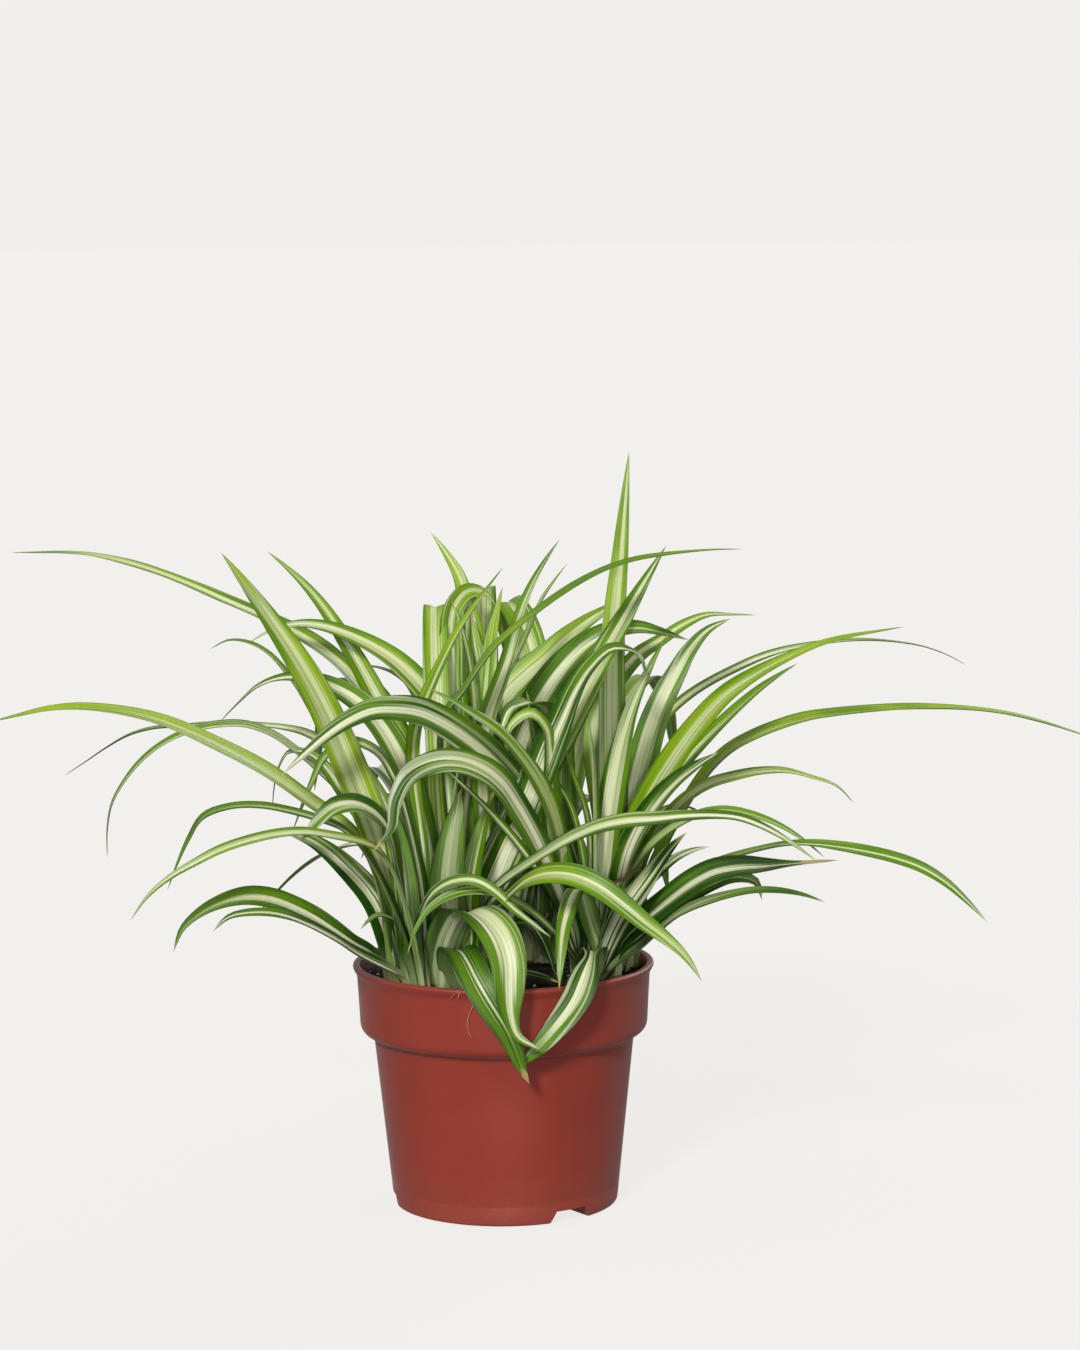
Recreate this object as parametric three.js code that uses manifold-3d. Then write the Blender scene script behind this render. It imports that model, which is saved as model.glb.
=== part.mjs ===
// A spider plant in a moulded plastic nursery pot.
// Millimetres, +Z up, the pot's axis on Z and its foot on z = 0.
import * as THREE from 'three';
import { mergeVertices } from 'three/addons/utils/BufferGeometryUtils.js';
import Module from 'manifold-3d';

const wasm = await Module();
wasm.setup();

// Driving dimensions of the pot
const rimRadius = 59.4;
const potHeight = 96.2;
const lipHeight = 3.8;
const collarTopRadius = 57.8;
const collarFootRadius = 56.8;
const collarFootHeight = 72.6;
const bodyTopRadius = 51.3;
const bodyTopHeight = 66;
const footRadius = 44.4;
const footRounding = 1.5;
const wall = 1.2;
const turnSegments = 60;

// Drainage pockets: three raised tunnels in the floor, open to the outside at the foot
const pocketCount = 3;
const pocketAzimuth = -54.4;
const pocketWidthAtGround = 19;
const pocketWidthAtRoof = 13.7;
const pocketHeight = 4.8;
const pocketInnerEnd = 22;
const drainHoleRadius = 2.6;

// Soil and the clearance that neighbouring pieces keep
const clearance = 0.3;
const soilLevel = 90;
const leafFoot = soilLevel + clearance;

// Crowns: the short stems that the leaves grow around
const crownRadius = 5;
const crownTopRadius = 3;
const crownHeight = 13;
const crowns = {
  left: [-33, -28],
  front: [-14, -20],
  right: [35, -18],
  farRight: [44, 12],
  backLeft: [-18, 26],
  backRight: [14, 32],
};

// Leaf blades
const leafStep = 11;
const leafThickness = 0.9;
const footWidthShare = 0.42;
const widestAt = 0.36;
const footChannel = 0.34;
const middleChannel = 0.17;
const sheathHeight = 8;

// Colours
const potMaterial = new THREE.MeshStandardMaterial({ color: 0x8f3a2e, roughness: 0.45, metalness: 0 });
const soilMaterial = new THREE.MeshStandardMaterial({ color: 0x1f1712, roughness: 1, metalness: 0 });
const crownMaterial = new THREE.MeshStandardMaterial({ color: 0x9a9b62, roughness: 0.7, metalness: 0 });
const leafMaterial = new THREE.MeshStandardMaterial({ color: 0x6f9a45, roughness: 0.4, metalness: 0 });

// Turns a closed geometry into a solid that can be joined and cut, with its faces pointing out.
function solidOf(geometry) {
  const bare = geometry.index ? geometry.toNonIndexed() : geometry.clone();
  bare.deleteAttribute('normal');
  bare.deleteAttribute('uv');
  const merged = mergeVertices(bare, 1e-4);
  const index = merged.index.array;
  const place = merged.attributes.position.array;
  const corners = [];
  let volume = 0;
  const [a, b, c] = [new THREE.Vector3(), new THREE.Vector3(), new THREE.Vector3()];
  for (let i = 0; i < index.length; i += 3) {
    const [p, q, r] = [index[i], index[i + 1], index[i + 2]];
    if (p === q || q === r || r === p) continue;
    corners.push(p, q, r);
    a.fromArray(place, 3 * p);
    b.fromArray(place, 3 * q);
    c.fromArray(place, 3 * r);
    volume += a.dot(b.cross(c));
  }
  if (volume < 0) corners.reverse();
  return new wasm.Manifold(new wasm.Mesh({
    numProp: 3,
    vertProperties: new Float32Array(place),
    triVerts: new Uint32Array(corners),
  }));
}

// Turns a solid back into a three.js geometry.
function geometryOf(solid) {
  const mesh = solid.getMesh();
  const geometry = new THREE.BufferGeometry();
  geometry.setAttribute('position', new THREE.BufferAttribute(new Float32Array(mesh.vertProperties), 3));
  geometry.setIndex(new THREE.BufferAttribute(new Uint32Array(mesh.triVerts), 1));
  geometry.computeVertexNormals();
  return geometry;
}

// A turned solid from an outline of [radius, height] drawn with a Path.
function turned(path, curveSteps, segments = turnSegments) {
  const geometry = new THREE.LatheGeometry(path.getPoints(curveSteps), segments);
  geometry.rotateX(Math.PI / 2);
  return solidOf(geometry);
}

// The pot's outer shape as a filled solid: foot, body, rounded shoulder, collar and lip.
function potOuter() {
  const path = new THREE.Path();
  path.moveTo(0, 0);
  path.lineTo(footRadius - footRounding, 0);
  path.quadraticCurveTo(footRadius, 0, footRadius + 0.1, footRounding);
  path.lineTo(bodyTopRadius, bodyTopHeight);
  path.quadraticCurveTo(bodyTopRadius + 0.1, bodyTopHeight + 1.4, bodyTopRadius + 1.3, bodyTopHeight + 2);
  path.quadraticCurveTo(collarFootRadius - 0.3, collarFootHeight - 3.6, collarFootRadius, collarFootHeight);
  path.lineTo(collarTopRadius, potHeight - lipHeight);
  path.quadraticCurveTo(rimRadius, potHeight - lipHeight, rimRadius, potHeight - lipHeight / 2);
  path.quadraticCurveTo(rimRadius, potHeight, rimRadius - 1.5, potHeight);
  path.lineTo(0, potHeight);
  return turned(path, 3);
}

// The room inside the pot, drawn in by `inset` from the plastic, up to the height `top`.
function potRoom(inset, top) {
  const slope = (bodyTopRadius - footRadius) / bodyTopHeight;
  const floor = wall + inset;
  const inner = (radius) => radius - wall - inset;
  const path = new THREE.Path();
  path.moveTo(0, floor);
  path.lineTo(inner(footRadius) - 1.2, floor);
  path.quadraticCurveTo(inner(footRadius), floor, inner(footRadius) + 2.4 * slope, floor + 1.2);
  const [waist, collar] = [inner(bodyTopRadius), inner(collarFootRadius)];
  path.lineTo(waist, bodyTopHeight);
  path.quadraticCurveTo(waist + 0.1, bodyTopHeight + 2.6, waist + 2, bodyTopHeight + 3.4);
  path.quadraticCurveTo(collar - 0.5, collarFootHeight - 2.4, collar, collarFootHeight);
  const collarSlope = (collarTopRadius - collarFootRadius) / (potHeight - lipHeight - collarFootHeight);
  path.lineTo(collar + collarSlope * (top - collarFootHeight), top);
  path.lineTo(0, top);
  return turned(path, 3);
}

// A radial block with sloping sides, between two radii and from the height `from` to `to`.
function pocketBlock(azimuth, grow, from, innerEnd, outerEnd) {
  const slope = (pocketWidthAtGround - pocketWidthAtRoof) / 2 / pocketHeight;
  const top = pocketHeight + grow;
  const half = (z) => pocketWidthAtGround / 2 - slope * z + grow * Math.hypot(1, slope);
  const shape = new THREE.Shape();
  shape.moveTo(-half(from), from);
  shape.lineTo(half(from), from);
  shape.lineTo(half(top), top);
  shape.lineTo(-half(top), top);
  shape.closePath();
  const geometry = new THREE.ExtrudeGeometry(shape, { depth: outerEnd - innerEnd, bevelEnabled: false });
  geometry.translate(0, 0, innerEnd);
  geometry.rotateX(Math.PI / 2);
  geometry.rotateZ(Math.PI / 2 + THREE.MathUtils.degToRad(azimuth));
  return solidOf(geometry);
}

function drainHole(azimuth, radius) {
  const geometry = new THREE.CylinderGeometry(drainHoleRadius, drainHoleRadius, 4 * wall, 16);
  geometry.rotateX(Math.PI / 2);
  const angle = THREE.MathUtils.degToRad(azimuth);
  geometry.translate(radius * Math.cos(angle), radius * Math.sin(angle), pocketHeight + wall / 2);
  return solidOf(geometry);
}

const pocketAzimuths = Array.from({ length: pocketCount }, (_, i) => pocketAzimuth + (i * 360) / pocketCount);

// Hollows out the pot and cuts its pockets, whose roofs rise inside as the floor's own plastic.
function buildPot() {
  let room = potRoom(0, potHeight + 1);
  for (const azimuth of pocketAzimuths) {
    room = room.subtract(pocketBlock(azimuth, wall, -1, pocketInnerEnd - wall, footRadius + 4));
  }
  let pot = potOuter().subtract(room);
  for (const azimuth of pocketAzimuths) {
    pot = pot.subtract(pocketBlock(azimuth, 0, -1, pocketInnerEnd, footRadius + 4));
    pot = pot.subtract(drainHole(azimuth, pocketInnerEnd + 5));
    pot = pot.subtract(drainHole(azimuth, pocketInnerEnd + 15));
  }
  return pot;
}

// The potting soil fills the pot to just under the rim and stays clear of the plastic.
function buildSoil() {
  let soil = potRoom(clearance, soilLevel);
  for (const azimuth of pocketAzimuths) {
    const grow = wall + clearance;
    soil = soil.subtract(pocketBlock(azimuth, grow, -1, pocketInnerEnd - grow, footRadius + 4));
  }
  return soil;
}

// A crown is a short tapered stem with a rounded top.
function buildCrown([x, y]) {
  const path = new THREE.Path();
  path.moveTo(0, leafFoot);
  path.lineTo(crownRadius, leafFoot);
  path.lineTo(crownTopRadius, leafFoot + crownHeight - crownTopRadius);
  path.quadraticCurveTo(crownTopRadius, leafFoot + crownHeight, 0, leafFoot + crownHeight);
  return turned(path, 3, 12).translate([x, y, 0]);
}

// Share of the full width along a leaf, from its foot (t = 0) to its tip (t = 1).
function widthShare(t) {
  if (t < widestAt) return footWidthShare + (1 - footWidthShare) * THREE.MathUtils.smoothstep(t, 0, widestAt);
  return Math.pow(1 - Math.pow((t - widestAt) / (1 - widestAt), 2.2), 0.9);
}

// A leaf blade: a keeled ribbon along a spine, with four corners to each section (left edge, upper midrib,
// right edge, lower midrib), a flat foot and a pointed tip. `lean` is the azimuth it arches towards, and
// `rolls` turn its upper face towards the front, at the foot, the middle and the tip.
function leafSections(points, width, rolls, lean) {
  const spine = new THREE.CatmullRomCurve3(points, false, 'centripetal');
  spine.arcLengthDivisions = 400;
  const count = Math.max(12, Math.round(spine.getLength() / leafStep));
  const heading = new THREE.Vector3(Math.cos(lean), Math.sin(lean), 0);
  const across = new THREE.Vector3(-heading.y, heading.x, 0);
  const rollSide = heading.x < 0 ? -1 : 1;
  const up = new THREE.Vector3(0, 0, 1);
  const sections = [];
  for (let i = 0; i <= count; i += 1) {
    const t = i / count;
    const middle = spine.getPointAt(t);
    const along = i === 0 ? up.clone() : spine.getTangentAt(t);
    const side = across.clone().addScaledVector(along, -across.dot(along)).normalize();
    const roll = t < 0.5
      ? THREE.MathUtils.lerp(rolls[0], rolls[1], THREE.MathUtils.smoothstep(t, 0, 0.5))
      : THREE.MathUtils.lerp(rolls[1], rolls[2], THREE.MathUtils.smoothstep(t, 0.5, 1));
    const firm = THREE.MathUtils.smoothstep(t, 0, 0.12);
    side.applyAxisAngle(along, rollSide * THREE.MathUtils.degToRad(roll) * firm);
    const face = new THREE.Vector3().crossVectors(along, side);
    if (i === count) {
      sections.push([middle]);
      break;
    }
    const half = (width * widthShare(t)) / 2;
    const fold = THREE.MathUtils.lerp(footChannel, middleChannel, THREE.MathUtils.smoothstep(t, 0, 0.4));
    const channel = 2 * half * fold;
    const thick = leafThickness * (1 - 0.4 * t);
    const corner = (s, n) => middle.clone().addScaledVector(side, s).addScaledVector(face, n);
    sections.push([
      corner(half, channel),
      corner(0, thick / 2),
      corner(-half, channel),
      corner(0, -thick / 2),
    ]);
  }
  return sections;
}

// Joins the sections into one closed solid. On both faces the diagonals run from an edge to the next midrib,
// so where a leaf twists its two faces turn alike and stay apart.
function bladeOf(sections) {
  const place = sections.flat().flatMap((point) => point.toArray());
  const tip = 4 * (sections.length - 1);
  const corners = [0, 2, 1, 0, 3, 2];
  for (let ring = 0; ring < sections.length - 2; ring += 1) {
    for (let k = 0; k < 4; k += 1) {
      const [a, b] = [4 * ring + k, 4 * ring + ((k + 1) % 4)];
      if (k % 2 === 0) corners.push(a, b, b + 4, a, b + 4, a + 4);
      else corners.push(a, b, a + 4, b, b + 4, a + 4);
    }
  }
  for (let k = 0; k < 4; k += 1) corners.push(tip - 4 + k, tip - 4 + ((k + 1) % 4), tip);
  const geometry = new THREE.BufferGeometry();
  geometry.setAttribute('position', new THREE.BufferAttribute(new Float32Array(place), 3));
  geometry.setIndex(corners);
  return solidOf(geometry);
}

// The leaves, by the side they lean to: crown, full width, rolls at foot, middle and tip, and the spine
// above the foot. A last number is the azimuth it arches towards, where foot and tip don't show it.
const leaves = {
  left: [
    ['backLeft', 11, [20, 15, 10], [[-30, 30, 119], [-59, 42, 203], [-117, 60, 236], [-166, 78, 251],
      [-203, 90, 252]]],
    ['left', 14, [50, 80, 70], [[-41, -31, 124], [-58, -36, 179], [-73, -42, 214], [-91, -47, 244],
      [-104, -52, 263.5]]],
    ['backLeft', 11, [40, 45, 30], [[-27, 24, 145], [-40, 28, 177], [-67, 38, 227], [-80, 44, 243],
      [-94, 50, 255]]],
    ['front', 11, [50, 40, 15], [[-25, -16, 122], [-38, -10, 176], [-54, -6, 199], [-78, 0, 209],
      [-94, 4, 206], [-111, 8, 191]]],
    ['backLeft', 11, [60, 50, 25], [[-17, 18, 136], [-17, 20, 176], [-33, 23, 203], [-49, 26, 217],
      [-74, 28, 227], [-88, 30, 226], [-102, 33, 219]]],
    ['left', 11, [30, 35, 20], [[-48, -38, 145], [-71, -48, 169], [-100, -60, 190], [-129, -72, 204],
      [-158, -83, 209], [-187, -92, 205]]],
    ['backLeft', 9, [20, 15, 10], [[-32, 12, 118], [-44, 6, 136], [-67, 0, 167], [-93, -4, 189],
      [-109, -4, 191], [-126, -3, 187], [-141, 0, 177], [-154, 2, 158], [-156, 4, 138]]],
    ['backLeft', 8, [15, 10, 5], [[-42, 34, 132], [-73, 42, 178], [-103, 50, 184], [-129, 56, 183],
      [-150, 60, 180], [-180, 65, 162]]],
    ['left', 9, [30, 25, 20], [[-30, -27, 131], [-41, -30, 175], [-50, -31, 186], [-62, -32, 187],
      [-71, -33, 174], [-80, -34, 154]]],
    ['left', 8, [20, 20, 10], [[-41, -33, 117], [-58, -38, 153], [-77, -44, 163], [-97, -50, 167],
      [-111, -54, 164], [-118, -56, 154], [-126, -58, 136]]],
    ['left', 9, [20, 18, 12], [[-38, -37, 119], [-47, -46, 148], [-62, -54, 155], [-78, -61, 158],
      [-99, -70, 155], [-114, -77, 149], [-128, -83, 141], [-137, -88, 130]]],
    ['left', 11, [55, 50, 40], [[-48, -28, 123], [-56, -28, 134], [-72, -26, 148], [-86, -24, 153]]],
    ['left', 11, [10, 40, 20], [[-42, -33, 99], [-48, -38, 106], [-56, -42, 111], [-71, -47, 122],
      [-86, -52, 130], [-96, -55, 132], [-107, -58, 130], [-119, -61, 123], [-124, -63, 113]]],
    ['left', 10, [25, 25, 20], [[-40, -36, 97], [-55, -47, 108], [-65, -57, 117], [-82, -66, 127],
      [-94, -70, 129], [-104, -73, 127], [-108, -75, 123]]],
  ],
  top: [
    ['backRight', 13, [60, 80, 65], [[16, 30, 130], [0, 34, 192], [-6, 36, 205], [-12, 40, 227],
      [-17, 43, 246], [-28, 47, 262.5]]],
    ['front', 11, [0, 0, 0], [[-21, -8, 130], [-25, 14, 199], [-26, 32, 230], [-26, 44, 232],
      [-26, 60, 223], [-25, 80, 199], [-24, 94, 170]], 95],
    ['backLeft', 12, [0, 0, 0], [[-13, 38, 150], [-9, 50, 205], [-8, 72, 236], [-7, 95, 226],
      [-5, 120, 196], [-3, 138, 160]], 88],
    ['backRight', 13, [10, 20, 20], [[18, 38, 140], [17, 46, 188], [12, 54, 218], [5, 66, 230],
      [2, 84, 228], [4, 104, 206], [8, 122, 172]], 95],
    ['left', 9, [40, 40, 30], [[-30, -23, 140], [-33, -27, 188], [-23, -34, 216], [-13, -37, 235],
      [2, -42, 256]], 0],
    ['front', 10, [30, 25, 15], [[-20, -22, 140], [-21, -24, 195], [-13, -26, 207], [-2, -30, 223],
      [22, -36, 243], [45, -42, 256], [75, -50, 262], [92, -54, 263]]],
    ['farRight', 10, [30, 30, 20], [[44, 8, 130], [44.5, 10, 222], [47.5, 12, 254], [51.5, 16, 296]], 60],
    ['front', 11, [50, 65, 50], [[-8, -10, 119.6], [6, -4, 151], [23, -4, 184], [41, -8, 218.4],
      [65, -16, 261.5]], 0],
    ['backLeft', 12, [60, 50, 30], [[-6, 26, 130], [12, 24, 187], [30, 22, 214], [43, 22, 223],
      [55, 22, 225], [75, 24, 220]]],
    ['backLeft', 12, [60, 60, 40], [[-10, 30, 140], [-1, 27, 195], [17, 31, 212], [31, 36, 224],
      [52, 46, 236]]],
    ['front', 12, [50, 45, 10], [[-5, -18, 120], [10, -23, 157.7], [23, -27, 190.8], [35, -30, 215],
      [47, -33, 224], [54, -37, 220], [56, -42, 212]], 0],
    ['backRight', 12, [20, 10, 0], [[21, 14, 130], [20, 2, 166], [20, -10, 191], [15, -20, 200],
      [9, -28, 201], [4, -34, 200], [0, -39, 191]], -110],
  ],
  right: [
    ['farRight', 9, [40, 35, 20], [[42, 22, 140], [39, 38, 187], [56, 44, 212], [68, 48, 219],
      [80, 52, 226], [104, 60, 226]]],
    ['farRight', 12, [60, 70, 50], [[48, 8, 125], [50, 12, 150], [60, 17, 189], [70, 21, 208],
      [80, 25, 222], [92, 30, 228]]],
    ['right', 10, [50, 50, 30], [[40, -12, 130], [45, -13, 169], [51, -15, 195], [59, -18, 215],
      [65, -22, 228]]],
    ['farRight', 7, [20, 12, 8], [[50, 26, 135], [62, 46, 181], [101, 62, 206], [144, 78, 213],
      [178, 92, 208], [194, 98, 200]]],
    ['right', 15, [50, 60, 30], [[44, -14, 128], [54, -17, 155], [76, -32, 192.5], [90, -42, 208.5],
      [120, -56, 226.5], [151, -72, 235]]],
    ['farRight', 10, [15, 12, 10], [[56, 12, 122], [86, 18, 173], [111, 24, 185], [135, 30, 189],
      [168, 37, 190], [201, 44, 187], [235, 50, 177], [246, 52, 172]]],
    ['right', 10, [45, 45, 40], [[44, -22, 120], [50, -25, 145], [61, -32, 164], [69, -35, 173],
      [83, -40, 184]]],
    ['farRight', 9, [25, 20, 10], [[56, 6, 135], [76, 6, 161], [92, 8, 167], [110, 10, 169], [119, 12, 167],
      [135, 14, 161], [140, 16, 155]]],
    ['right', 9, [5, 5, 65], [[46, -20, 112], [59, -24, 125], [76, -31, 137], [106, -43, 148],
      [120, -48, 149], [148, -54, 145], [162, -57, 140], [172, -59, 133], [184, -61, 121]]],
    ['right', 11, [50, 50, 30], [[45, -24, 107], [59, -29, 121], [81, -36, 137], [101, -43, 140.5],
      [113, -47, 142], [128, -52, 144]]],
    ['right', 8, [30, 25, 15], [[42, -31, 98], [56, -39, 110], [64, -43, 118.5], [75, -49, 126],
      [98, -60, 133.5], [114, -66, 133], [122, -70, 131]]],
    ['front', 9, [35, 35, 35], [[-10, -33, 115], [-1, -46, 128.6], [13, -63, 141.7], [29, -72, 142.6],
      [41, -75, 136.2], [50, -77, 129], [60, -77, 121], [68, -80, 114], [75, -82, 104]]],
  ],
  front: [
    ['front', 11, [30, 30, 15], [[-7, -33, 123.5], [16, -55, 146.7], [40, -67, 160.2], [55, -73, 162.8],
      [74, -78, 165.3], [89, -85, 165.3], [103, -91, 160], [117, -96, 151]]],
    ['right', 13, [60, 75, 35], [[27, -10, 117.8], [20, -11, 144.3], [8, -17, 164], [-9, -31, 185.5],
      [-28, -44, 199.8], [-38, -51, 202.9], [-50, -58, 203], [-62, -64, 197], [-81, -74, 182]]],
    ['right', 11, [60, 60, 40], [[25, -15, 118], [22, -22, 149.5], [14, -33, 172.5], [0, -44, 192.8],
      [-9, -48, 200], [-19, -52, 207], [-27, -56, 212]]],
    ['right', 13, [60, 70, 30], [[27, -24, 110], [15, -34, 144], [4, -46, 167], [-3, -55, 177.4],
      [-12, -60, 183], [-21, -64, 185], [-31, -70, 182], [-37, -74, 177], [-41, -79, 160],
      [-47, -81, 154]]],
    ['front', 15, [0, 0, 0], [[-18, -31, 106], [-14, -38, 120], [-10, -47, 124], [-2, -57, 120],
      [2.5, -63, 111], [3, -67, 98], [5, -69, 82], [14, -70, 76]], -80],
    ['front', 11, [0, 0, 0], [[-20, -33, 101], [-18, -44, 109], [-14, -55, 107], [-9, -63, 99],
      [-4, -65, 91], [1, -66, 83], [5, -66, 74], [8, -65, 65], [10, -64, 61]], -80],
    ['right', 11, [0, 0, 0], [[36, -29, 104], [35, -43, 106], [33, -51, 102], [28, -58, 91], [18, -62, 79],
      [11, -62, 72], [5, -60, 66]], -100],
    ['right', 8, [0, 0, 0], [[30, -27, 112], [26, -38, 131], [22, -50, 120], [21, -60, 106],
      [21, -62, 97]], -90],
  ],
  back: [
    ['backLeft', 12, [10, 10, 10], [[-28, 44, 130], [-44, 68, 178], [-62, 104, 196], [-76, 142, 180],
      [-84, 172, 138]]],
    ['backLeft', 12, [0, 0, 0], [[-20, 46, 140], [-24, 74, 190], [-26, 110, 208], [-30, 150, 190],
      [-36, 182, 150]]],
    ['backRight', 12, [0, 0, 0], [[22, 48, 135], [34, 78, 182], [42, 116, 200], [50, 156, 184],
      [56, 188, 142]]],
    ['farRight', 11, [0, 0, 0], [[46, 28, 125], [46, 76, 176], [60, 112, 194], [70, 150, 178],
      [76, 180, 140]]],
    ['backLeft', 10, [10, 10, 10], [[-26, 46, 120], [-40, 70, 150], [-52, 104, 158], [-58, 140, 144],
      [-60, 168, 116]]],
    ['backRight', 10, [0, 0, 0], [[12, 46, 118], [14, 72, 148], [8, 106, 158], [2, 140, 142],
      [-2, 166, 110]]],
  ],
};

// Where leaves would meet, the later one gives way as real ones do: its foot moves round the crown, and
// its blade slides past in depth, or a little up, down or sideways.
const footRings = [6.5, 8, 9.5, 11, 12.5, 14];
const footTurns = [0, 15, -15, 30, -30, 45, -45, 60, -60, 80, -80, 100, -100];
const footFollow = 0.6;
const slideWays = [
  new THREE.Vector3(0, 3, -0.36),
  new THREE.Vector3(0, 0, 1.5),
  new THREE.Vector3(1.5, 0, 0),
];
const slideSteps = 8;

const atAngle = (radius, angle) => new THREE.Vector3(radius * Math.cos(angle), radius * Math.sin(angle), 0);

function leafCandidate([crown, width, rolls, spine, leanDegrees], foot, slide) {
  const centre = new THREE.Vector3(...crowns[crown], leafFoot);
  const [first, last] = [spine[0], spine[spine.length - 1]];
  const lean = leanDegrees === undefined
    ? Math.atan2(last[1] - centre.y, last[0] - centre.x)
    : THREE.MathUtils.degToRad(leanDegrees);
  const outward = [first[0] - centre.x, first[1] - centre.y];
  const away = Math.hypot(...outward) > 3 ? Math.atan2(outward[1], outward[0]) : lean;
  const start = atAngle(foot.ring, away + THREE.MathUtils.degToRad(foot.turn)).add(centre);
  const shift = start.clone().sub(centre).sub(atAngle(footRings[0], away));
  const rest = spine.map((point, i) => {
    const share = (i + 1) / spine.length;
    const amount = slide.bows ? Math.sin(Math.PI * Math.min(share, 0.9)) : share;
    return new THREE.Vector3(...point)
      .addScaledVector(slide.way, amount * slide.steps)
      .addScaledVector(shift, footFollow ** (i + 1));
  });
  const points = [start];
  if (rest[0].z > leafFoot + 2.5 * sheathHeight) {
    const sheath = start.clone().lerp(rest[0], 0.15);
    sheath.z = leafFoot + sheathHeight;
    points.push(sheath);
  }
  return leafSections([...points, ...rest], width, rolls, lean);
}

const boxesMeet = (a, b) => [0, 1, 2].every((k) => (
  a.min[k] - clearance < b.max[k] && b.min[k] - clearance < a.max[k]
));

// A blade as it is compared with the others: its solid, its box, and each section's middle and reach.
function asPlaced(sections, width) {
  const solid = bladeOf(sections);
  const reach = width / 2 + leafStep / 2 + clearance;
  return { solid, box: solid.boundingBox(), middles: sections.map((section) => section[0]), reach };
}

// Sections that all lie further apart than both blades reach can't touch.
function mayTouch(a, b) {
  if (!a.middles || !b.middles) return true;
  const limit = (a.reach + b.reach) ** 2;
  return a.middles.some((p) => b.middles.some((q) => p.distanceToSquared(q) < limit));
}

function isClear(blade, placed) {
  return !placed.some((other) => boxesMeet(blade.box, other.box) && mayTouch(blade, other)
    && blade.solid.minGap(other.solid, clearance) < clearance);
}

// Inside the pot a blade stays above the soil.
function isAboveSoil(sections) {
  const isInside = (point) => Math.hypot(point.x, point.y) < rimRadius;
  return sections.flat().every((point) => !isInside(point) || point.z > leafFoot - 1e-3);
}

const footPlaces = footRings
  .flatMap((ring, i) => footTurns.map((turn, k) => ({ ring, turn, cost: 2 * i + k })))
  .sort((a, b) => a.cost - b.cost);
const slidePlaces = [{ way: slideWays[0], steps: 0, bows: true }];
for (let steps = 1; steps <= slideSteps; steps += 1) {
  for (const way of slideWays) {
    for (const bows of [true, false]) {
      slidePlaces.push({ way, steps, bows }, { way, steps: -steps, bows });
    }
  }
}

function placeLeaf(leaf, placed) {
  const width = leaf[1];
  for (const foot of footPlaces) {
    const plain = leafCandidate(leaf, foot, slidePlaces[0]);
    const sheath = asPlaced([...plain.slice(0, 4), [plain[4][0]]], width);
    if (!isClear(sheath, placed)) continue;
    for (const slide of slidePlaces) {
      const sections = leafCandidate(leaf, foot, slide);
      if (!isAboveSoil(sections)) continue;
      const blade = asPlaced(sections, width);
      if (isClear(blade, placed)) return blade;
    }
  }
  throw new Error('A leaf finds no free place.');
}

const plant = new THREE.Group();

function addMesh(name, solid, material) {
  const mesh = new THREE.Mesh(geometryOf(solid), material);
  mesh.name = name;
  plant.add(mesh);
}

const pot = buildPot();
addMesh('pot', pot, potMaterial);
addMesh('potting_soil', buildSoil(), soilMaterial);
const placed = [{ solid: pot, box: pot.boundingBox() }];
for (const [name, centre] of Object.entries(crowns)) {
  const crown = buildCrown(centre);
  placed.push({ solid: crown, box: crown.boundingBox() });
  addMesh(`crown_${name}`, crown, crownMaterial);
}
for (const side of ['top', 'front', 'left', 'right', 'back']) {
  leaves[side].forEach((leaf, i) => {
    const blade = placeLeaf(leaf, placed);
    placed.push(blade);
    addMesh(`leaf_${side}_${String(i + 1).padStart(2, '0')}`, blade.solid, leafMaterial);
  });
}

export default plant;
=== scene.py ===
# A potted spider plant: striped, arching strap leaves that grow from short crowns in a moulded nursery pot.
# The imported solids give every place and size. Lengths here are millimetres until a mesh is made.
import math
import random
from functools import partial

import bmesh
import bpy
import numpy as np
from mathutils import Matrix, Vector, noise
from mathutils.bvhtree import BVHTree


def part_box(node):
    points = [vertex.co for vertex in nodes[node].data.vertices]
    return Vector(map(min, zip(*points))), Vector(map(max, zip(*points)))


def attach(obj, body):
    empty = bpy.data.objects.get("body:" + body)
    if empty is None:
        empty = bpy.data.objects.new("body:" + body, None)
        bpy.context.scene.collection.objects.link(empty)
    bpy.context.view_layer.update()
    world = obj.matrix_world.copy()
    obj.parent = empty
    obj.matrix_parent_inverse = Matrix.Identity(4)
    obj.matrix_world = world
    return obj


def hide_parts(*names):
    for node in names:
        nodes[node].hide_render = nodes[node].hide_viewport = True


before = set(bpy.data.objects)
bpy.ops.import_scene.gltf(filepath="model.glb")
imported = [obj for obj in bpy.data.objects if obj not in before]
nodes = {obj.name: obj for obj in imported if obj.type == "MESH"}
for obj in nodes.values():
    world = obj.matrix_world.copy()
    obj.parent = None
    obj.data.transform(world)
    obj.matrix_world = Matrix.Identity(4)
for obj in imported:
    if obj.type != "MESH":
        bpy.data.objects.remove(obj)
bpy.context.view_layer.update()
mm = 0.001
print("loaded", len(nodes), "solids")

camera = {
    "place": (15.6, -1458, 386),
    "lens": 100,
    "lookDown": 6.9,  # degrees
    "roll": 0.56,  # degrees
}


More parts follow.
